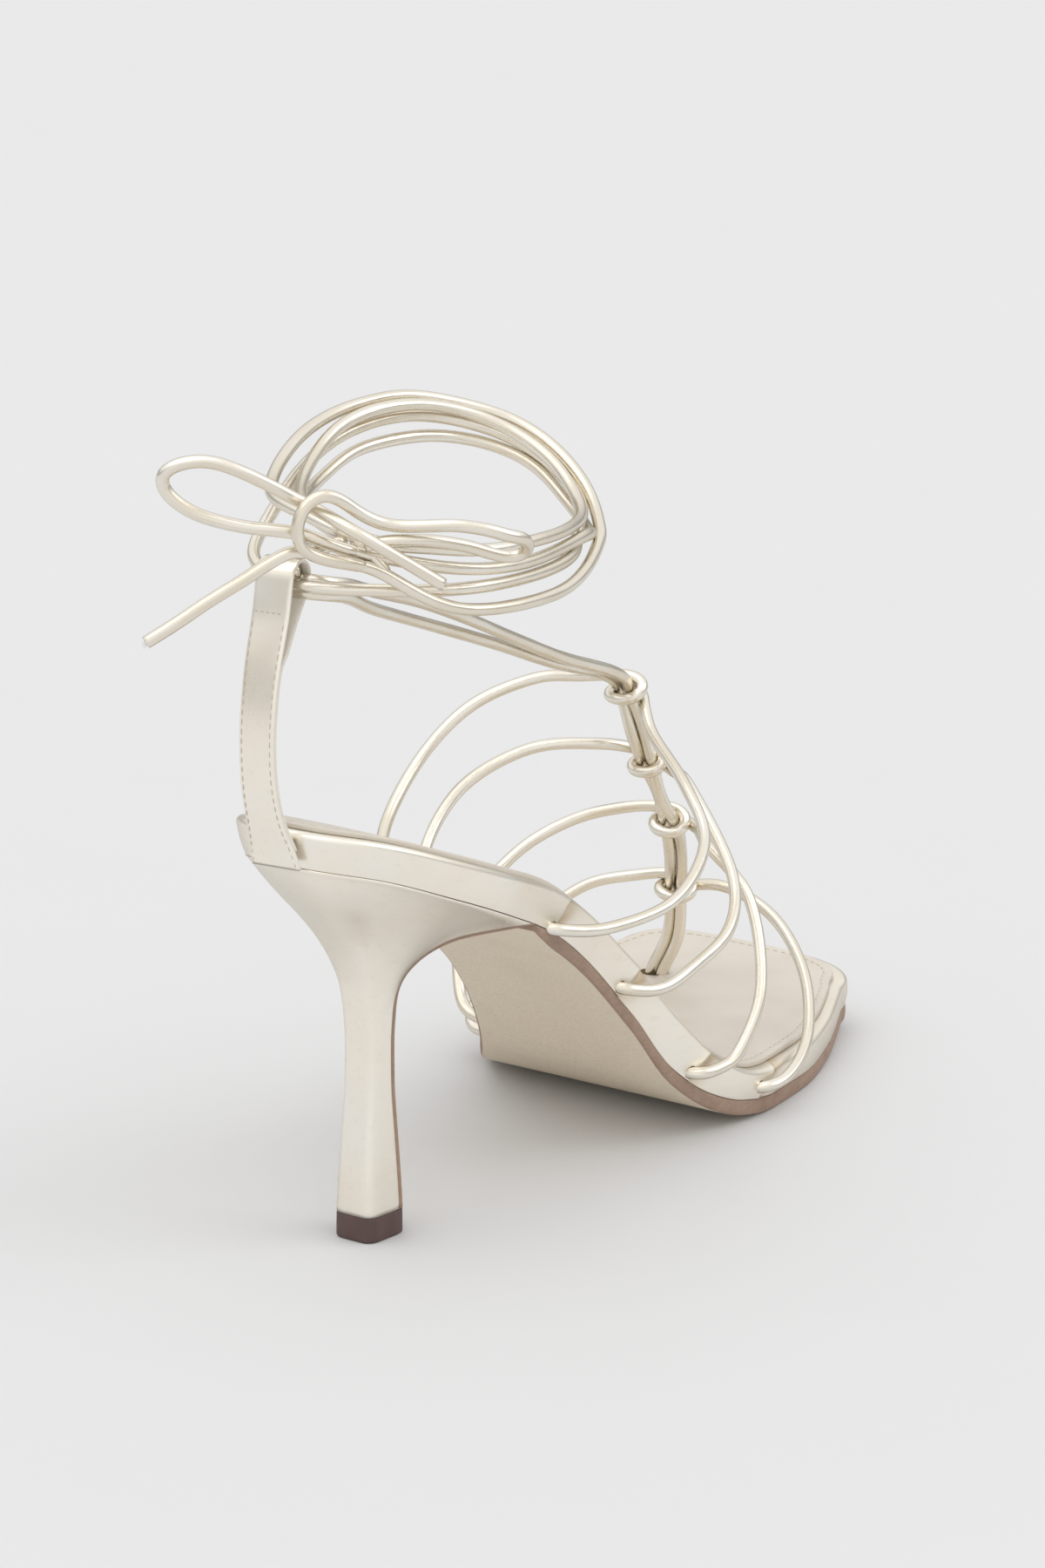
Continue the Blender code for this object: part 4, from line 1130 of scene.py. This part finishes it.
def entry_rods():
    """Rods for the holes where the ribs go into the platform."""
    holes = Shape()
    for _, big_half, little_half in RIBS.values():
        for route in (big_half[:2], little_half[:-3:-1]):
            end, outer = np.array(route)
            inward = unit(end - outer)
            _, first, second = frames_along(np.array((outer, end)))
            reach = CORD / 2 + HOLE_SPARE
            middles = (outer - HOLE_OUT * inward, end - HOLE_SHORT * inward)
            holes.tube([circle(at, first[0], second[0], reach, CORD_SIDES) for at in middles], 1)
    return holes


def carve(target, tool, finishes):
    """Cuts a shape's solids out of the target and keeps the result as the target's own mesh."""
    cutter = put("cutter", tool.mesh("cutter", finishes, smooth=False))
    cut = target.modifiers.new("carve", "BOOLEAN")
    cut.operation = "DIFFERENCE"
    cut.solver = "EXACT"
    cut.object = cutter
    bpy.context.view_layer.update()
    graph = bpy.context.evaluated_depsgraph_get()
    carved = bpy.data.meshes.new_from_object(target.evaluated_get(graph))
    target.modifiers.clear()
    target.data = carved
    bpy.data.meshes.remove(cutter.data)


def make_platform(foil, lining):
    """The wrapped platform, pressed in beside each slit and with a hole for each rib."""
    near = [
        entry + SLIT_START + np.arange(-3.0, SLIT_SLANT + 5.0, 0.4)
        for side in (1, -1)
        for entry in rib_entries(side)
    ]
    station = np.unique(np.round(np.concatenate((station_row(), *near)), 3))
    height, lean = curve_through(PLATFORM, station).T
    lays = [(grow, rise, 0.0) for grow, rise in PLATFORM_FOOT]
    for share in np.linspace(0.06, 1, 16):
        bulge = PLATFORM_BULGE * np.sin(np.pi * share)
        lays.append((lean * share + bulge, 0.2 + (height - RIM_ROUND - 0.2) * share, 0.85 * share))
    for angle in np.radians(np.linspace(12, 90, 8)):
        grow = lean - RIM_ROUND * (1 - np.cos(angle))
        lays.append((grow, height - RIM_ROUND * (1 - np.sin(angle)), 0.85 + 0.15 * np.sin(angle)))
    for inset, rise, climb in PLATFORM_TOP:
        lays.append((lean - RIM_ROUND - inset, height + rise, climb))
    rows = []
    marks = []
    for grow, rise, climb in lays:
        dents, crease_shades = zip(*(slit_dent(station, side, climb) for side in (1, -1)))
        rows.append((tuple(grow - dent for dent in dents), rise))
        # the painted crease shade beside each slit rides on the rows as marks
        marks.append(crease_shades)
    shape = layered(station, rows, 6, marks=marks)
    platform = shape.build("platform_cover", [foil, lining], "platform_gold", ["footbed"])
    carve(platform, entry_rods(), [foil, lining])


def sock_edge(station):
    """(how far the sock's edge is grown from the outline, the platform's height) at each station."""
    height, lean = curve_through(PLATFORM, station).T
    return lean - RIM_ROUND - INSOLE_INSET, height


def make_sock(leather, lining):
    """The padded sock, with a dip along its seam and a slot for the toe post."""
    station = station_row()
    edge, height = sock_edge(station)
    low = height + 0.06
    top = height + LAYER_GAP + INSOLE
    rows = [(edge - 1.0, low), (edge - 0.1, low), (edge, low + 0.15)]
    for angle in np.radians((10, 30, 50, 70, 90)):
        rows.append((edge - SOCK_ROUND * (1 - np.cos(angle)), top - SOCK_ROUND * (1 - np.sin(angle))))
    rows += [(edge - inset, top + dip) for inset, dip in SOCK_SEAM]
    shape = layered(station, rows, 24, crown=SOCK_CROWN)
    sock = shape.build("sock", [leather, lining], "sock", ["insole"])
    across, along = TOE_SLOT
    ring = circle(np.array(SPINE[-1]), np.array((0, across, 0)), np.array((along, 0, 0)), 1, 24)
    slot = Shape()
    slot.tube([np.array(ring) + (0, 0, rise) for rise in (-3.5, 12)], 1)
    carve(sock, slot, [leather, lining])


def thread_row(shape, line, normals, stitch, gap, thick, sink):
    """Sewn stitches along a line on a surface, each dipping in at both ends."""
    run = run_along(line)
    swell = np.sin(np.pi * np.linspace(0, 1, STITCH_RINGS))
    wide = thick / 2 * (THREAD_ENDS + (1 - THREAD_ENDS) * swell**0.5)
    for begin in np.arange(gap, run[-1] - stitch, stitch + gap):
        places = np.linspace(begin, begin + stitch, STITCH_RINGS)
        normal = unit(at_runs(places, run, normals))
        path = at_runs(places, run, line) + normal * (thick * THREAD_PROUD * swell**0.6 - sink)[:, None]
        forward = unit(np.gradient(path, axis=0))
        side = unit(np.cross(normal, forward))
        rings = zip(path, side, np.cross(forward, side), wide)
        shape.tube([circle(*ring, 8, flat=THREAD_FLAT) for ring in rings])


def make_sock_stitches(thread):
    station = station_row()
    edge, height = sock_edge(station)
    little, big = edge_points(station, edge - SOCK_STITCH_IN, height + LAYER_GAP + INSOLE - 0.13)
    line = evened(np.vstack((little, big[::-1][1:])), 0.7)
    shape = Shape()
    thread_row(shape, line, np.tile((0.0, 0.0, 1.0), (len(line), 1)), *SOCK_STITCH)
    shape.build("sock_stitches", [thread], "sock")


def make_outsole(sheet, edge):
    """The thin sole: sheet below, a painted edge round it, thinner behind at the heel's breast."""
    station = np.concatenate(([BREAST + LAYER_GAP], station_row(BREAST + 1.0)))
    grown = np.clip((station - BREAST) / OUTSOLE_RUN, 0, 1) ** 0.7
    thick = OUTSOLE * (OUTSOLE_BACK + (1 - OUTSOLE_BACK) * grown)
    rows = [(grow, dip - SEAM) for grow, dip in OUTSOLE_TOP]
    for share in np.linspace(0.1, 1, 6):
        depth = SEAM + 0.25 + (thick - SOLE_BEVEL - SEAM - 0.25) * share
        rows.append((0.12 * np.sin(np.pi * share), -depth))
    for angle in np.radians(np.linspace(15, 90, 6)):
        rows.append((-SOLE_BEVEL * (1 - np.cos(angle)), -thick + SOLE_BEVEL * (1 - np.sin(angle))))
    painted = range(1, len(rows) - 2)
    rows += [(-SOLE_BEVEL - 0.4, -thick - 0.01), (-SOLE_BEVEL - 2.0, -thick - 0.02)]
    shape = layered(station, rows, 20, edge=painted, back=True)
    shape.build("outsole_leather", [sheet, edge], "sole", ["outsole"])


# ---------------------------------------------------------------- heel


def heel_station(u):
    """The station of the heel's ring at u, from 0 at the seat's back to RING_END at the wing's end."""
    seat_angle = FIRST_TURN + (u - 1) * (90 - FIRST_TURN) / (RING_SEAT - 1)
    seat_angle = np.where(u < 1, FIRST_TURN * u, seat_angle)
    seat = SEAT * (1 - np.cos(np.radians(seat_angle)))
    return np.where(u <= RING_SEAT, seat, SEAT + WING_STEP * (u - RING_SEAT))


def shank_ring(up, angles, inset=0.0):
    """A ring of the heel's shank, squarish and turned a little, at a height over the floor."""
    width, depth = curve_through(SHANK, up)[0] - 2 * inset
    turn = np.radians(SHANK_TURN)
    x, y = np.cos(angles), np.sin(angles)
    reach = (abs(x) ** SHANK_POWER + abs(y) ** SHANK_POWER) ** (-1 / SHANK_POWER)
    ahead = -y * reach * depth / 2
    aside = -x * reach * width / 2
    along = TIP_ALONG + ahead * np.cos(turn) - aside * np.sin(turn)
    across = TIP_ACROSS + ahead * np.sin(turn) + aside * np.cos(turn)
    return np.stack((along, across, np.full_like(x, up)), -1)


def heel_rings():
    """Rows of points down the heel, each from the big-toe wing round the back, then across the breast."""
    u = np.linspace(-RING_END, RING_END, 2 * HEEL_SIDE + 1)
    station = heel_station(abs(u))
    along, little, big = rim(station, -SEAM)
    across = np.where(u > 0, little, big)
    up = underside(along) - SEAM
    side_top = np.stack((along - SKEW * across, across, up), -1)
    share = np.linspace(0, 1, HEEL_FRONT + 2)[1:-1]
    first, last = side_top[-1], side_top[0]
    front_across = first[1] + (last[1] - first[1]) * share
    front_along = BREAST - BREAST_HOLLOW * np.sin(np.pi * share)
    front_up = underside(front_along) - SEAM
    front_top = np.stack((front_along - SKEW * front_across, front_across, front_up), -1)
    top = np.vstack((side_top, front_top))
    station = np.concatenate((station, np.full(HEEL_FRONT, BREAST)))
    angles = np.pi * np.concatenate((0.5 + BACK_HALF * u / RING_END, FRONT_FROM + FRONT_SWEEP * share))
    neck = shank_ring(NECK_UP, angles)
    rows = []
    for fall in FALLS:
        back, side, front = curve_through(FLARE, fall)[0]
        reach = curve_through(((0.0, back), (HEEL_WIDEST, side), (BREAST, front)), station)[:, 0]
        row = neck + (top - neck) * reach[:, None]
        row[:, 2] = top[:, 2] - fall * (top[:, 2] - NECK_UP)
        rows.append(row)
    rows += [shank_ring(up, angles) for up in np.linspace(NECK_UP, TIP_UP + GAP / 2, 40)]
    return np.array(rows)


def make_heel(foil, sheet, edge):
    """The wrapped heel and, down its breast, the flap of sole leather."""
    rows = heel_rings()
    count = rows.shape[1]
    drop = 0.3 * (rows[0, :, 2] - rows[1, :, 2])[:, None]
    inward = unit((rows[0].mean(axis=0) - rows[0]) * (1, 1, 0))
    down = np.array((0.0, 0.0, -1.0))
    turns = ((1, 0), (0.3, 0.3), (0, 1))
    rounded = [rows[0] + drop * (inward * aside + down * fall) for aside, fall in turns]
    body = np.concatenate((rounded, rows[1:]))
    shape = Shape()
    shape.add(body, grid_faces(len(body), count, True))
    shape.face(range((len(body) - 1) * count, len(body) * count))
    for k in range(HEEL_SIDE - 1):
        shape.face((k, k + 1, 2 * HEEL_SIDE - k - 1, 2 * HEEL_SIDE - k))
    shape.face((HEEL_SIDE - 1, HEEL_SIDE, HEEL_SIDE + 1))
    shape.face((0, *range(count - 1, 2 * HEEL_SIDE, -1), 2 * HEEL_SIDE))
    shape.build("wrapped_heel", [foil], "heel_gold", ["heel"])
    make_breast_flap(rows, sheet, edge)


def side_strip(rows, columns):
    """Points on the heel's side next to its breast, row by row, nearest the breast first."""
    down = unit(np.gradient(rows[:, columns[0]], axis=0))
    back = unit(rows[:, columns[2]] - rows[:, columns[0]])
    slant = np.linalg.norm(np.cross(down, back), axis=1)
    share = np.arange(1, FLAP_STEPS + 1) / FLAP_STEPS
    strip = []
    for row, wide in zip(rows, FLAP_EDGE / np.maximum(slant, 0.35)):
        chain = row[columns]
        strip.append(at_runs(wide * share, run_along(chain), chain))
    return np.array(strip)


def make_breast_flap(rows, sheet, edge):
    """The skin of sole leather over the heel's breast, with its painted edge on both sides."""
    side = 2 * HEEL_SIDE
    breast = rows[:, np.concatenate((np.arange(side, rows.shape[1]), [0]))]
    one = side_strip(rows, np.arange(side, side - FLAP_REACH, -1))
    other = side_strip(rows, np.arange(FLAP_REACH))
    skin = np.concatenate((one[:, ::-1], breast, other), axis=1)
    outward = unit(np.cross(np.gradient(skin, axis=0), np.gradient(skin, axis=1)) + 1e-9)
    outward *= np.sign(outward[:, 8:-8, 0].mean())
    count, columns = skin.shape[:2]
    grid = grid_faces(count, columns, False)
    flap = Shape()
    flap.add(skin + outward * FLAP_PROUD, grid)
    below = flap.add(skin - outward * FLAP_SUNK, grid)
    last = columns - 1 - FLAP_STEPS
    finish = [0 if FLAP_STEPS <= k < last else 1 for k in range(columns - 1)]
    flap.finish = finish * (2 * (count - 1))
    ids = np.arange(below).reshape(count, columns)
    for border in (ids[:, 0], ids[:, -1], ids[0], ids[-1]):
        for k, after in zip(border[:-1].tolist(), border[1:].tolist()):
            flap.face((k, after, after + below, k + below), 1)
    flap.build("breast_flap", [sheet, edge], "sole")


def make_heel_tip(rubber):
    """The rubber top piece, rounded at the floor and let in a little under the heel."""
    insets = [(0.0, 0.9), (0.02, 0.55), (0.15, 0.22), (0.4, 0.04), (0.8, 0.0)]
    insets += [(up, 0.0) for up in np.linspace(1.4, TIP_UP - 0.25, 7)]
    insets += [(TIP_UP - 0.08, 0.05), (TIP_UP, 0.2)]
    angles = np.linspace(0, TURN, TIP_SIDES, endpoint=False)
    rows = np.array([shank_ring(up, angles, inset) for up, inset in insets])
    shape = Shape()
    shape.add(rows, grid_faces(len(rows), TIP_SIDES, True))
    for row in (0, len(rows) - 1):
        centre = rows[row].mean(axis=0)
        first = shape.add(centre + (rows[row] - centre) * 0.6)
        shape.bridge(row * TIP_SIDES, first, TIP_SIDES)
        shape.face(range(first, first + TIP_SIDES))
    shape.build("top_piece", [rubber], "rubber", ["heel_tip"])


# ---------------------------------------------------------------- heel strap


def band_body(line, widths):
    """A flat band with rounded edges on a line in the shoe's long plane, backing on its inside."""
    flat = BAND_HALF - BAND_FLAT
    section = [(BAND_HALF - inset, out) for inset, out in BAND_EDGE]
    section += [(x, LAYER / 2) for x in np.linspace(flat, -flat, 7)]
    section += [(inset - BAND_HALF, out) for inset, out in BAND_EDGE[:0:-1]]
    across, out = np.array(section + [(-x, -y) for x, y in section]).T
    rows = []
    for (along, up), (run, rise), width in zip(line, unit(np.gradient(line, axis=0)), widths):
        at = (along - rise * out, STRAP_ACROSS + across * width / (2 * BAND_HALF), up + run * out)
        rows.append(np.stack(at, -1))
    shape = Shape()
    shape.tube(rows, 1)
    foil = [0 if 1 <= k < 10 else 1 for k in range(len(across))]
    shape.finish[:-2] = foil * (len(rows) - 1)
    return shape


def strap_lines():
    """(the outer layer, the inner layer) of the strap below its loop, as (along, up) lines."""
    middle = spline([(along + STRAP_THICK / 2, up) for along, up in STRAP], 1.0, 4)
    ahead = unit(np.gradient(middle, axis=0))
    normal = np.stack((-ahead[:, 1], ahead[:, 0]), -1)
    return middle + normal * LAYER_OFF, middle - normal * LAYER_OFF


def strap_width(up):
    return curve_through(STRAP_WIDTH, up)[:, 0]


def make_heel_strap(foil, lining):
    """One band: up the back, over the cords as a loop, and down the inside to the seat."""
    outer, inner = strap_lines()
    outer, inner = outer[outer[:, 1] < OUTER_UP], inner[inner[:, 1] < INNER_UP]
    line = spline([*outer[::5], *LOOP, *inner[::-1][::5]], 0.8, 5)
    top = len(line) // 2
    fold = np.abs(line[:, 1] - LOOP[-1][1])[top:].argmin() + top
    widths = strap_width(line[:, 1]) * np.where(np.arange(len(line)) > fold, 0.97, 1.0)
    band_body(line, widths).build("strap_band", [foil, lining], "strap_gold", ["heel_strap"])


def make_strap_stitches(thread):
    """A seam down each edge of the strap, and one across it below the loop."""
    line, _ = strap_lines()
    ahead = unit(np.gradient(line, axis=0))
    normals = np.stack((-ahead[:, 1], np.zeros(len(line)), ahead[:, 0]), -1)
    outside = np.insert(line, 1, STRAP_ACROSS, axis=1) + normals * (LAYER / 2)
    shape = Shape()
    low = line[:, 1] < EDGE_SEAM_UP
    for side, inset in EDGE_SEAMS:
        seam = outside[low]
        seam[:, 1] += side * (strap_width(line[low, 1]) / 2 - inset)
        thread_row(shape, seam, normals[low], *STRAP_STITCH)
    k = np.abs(line[:, 1] - SEWN_UP).argmin()
    across = np.zeros((20, 3))
    across[:, 1] = np.linspace(-0.46, 0.46, 20) * 8.8
    thread_row(shape, outside[k] + across, np.tile(normals[k], (20, 1)), *CROSS_STITCH)
    shape.build("strap_stitches", [thread], "strap_gold")


def main():
    set_camera()
    foil = cord_foil()
    core = plain_finish("cord_core")
    cords = settle(lay_cords())
    run_on(cords, "turn_upper", "turn_outer")
    run_on(cords, "turn_outer", "bow_right")
    run_on(cords, "turn_inner", "bow_left")
    made = make_cords(cords, foil, core)
    declare_bow(cords, core)
    thread = plain_finish("sewing_thread")
    sheet = sole_sheet()
    edge = edge_paint()
    lining = plain_finish("slit_lining")
    sock = sock_leather()
    make_platform(foil_leather("platform_foil", rough=0.24, grain=0.6), lining)
    make_sock(sock, lining)
    make_sock_stitches(thread)
    make_outsole(sheet, edge)
    make_heel(foil_leather("heel_foil", rough=0.22, grain=0.5), sheet, edge)
    make_heel_tip(top_piece_rubber())
    backing = plain_finish("strap_backing")
    make_heel_strap(foil_leather("strap_foil", rough=0.22, grain=0.2), backing)
    make_strap_stitches(thread)
    lay_floor()
    light_studio()


main()
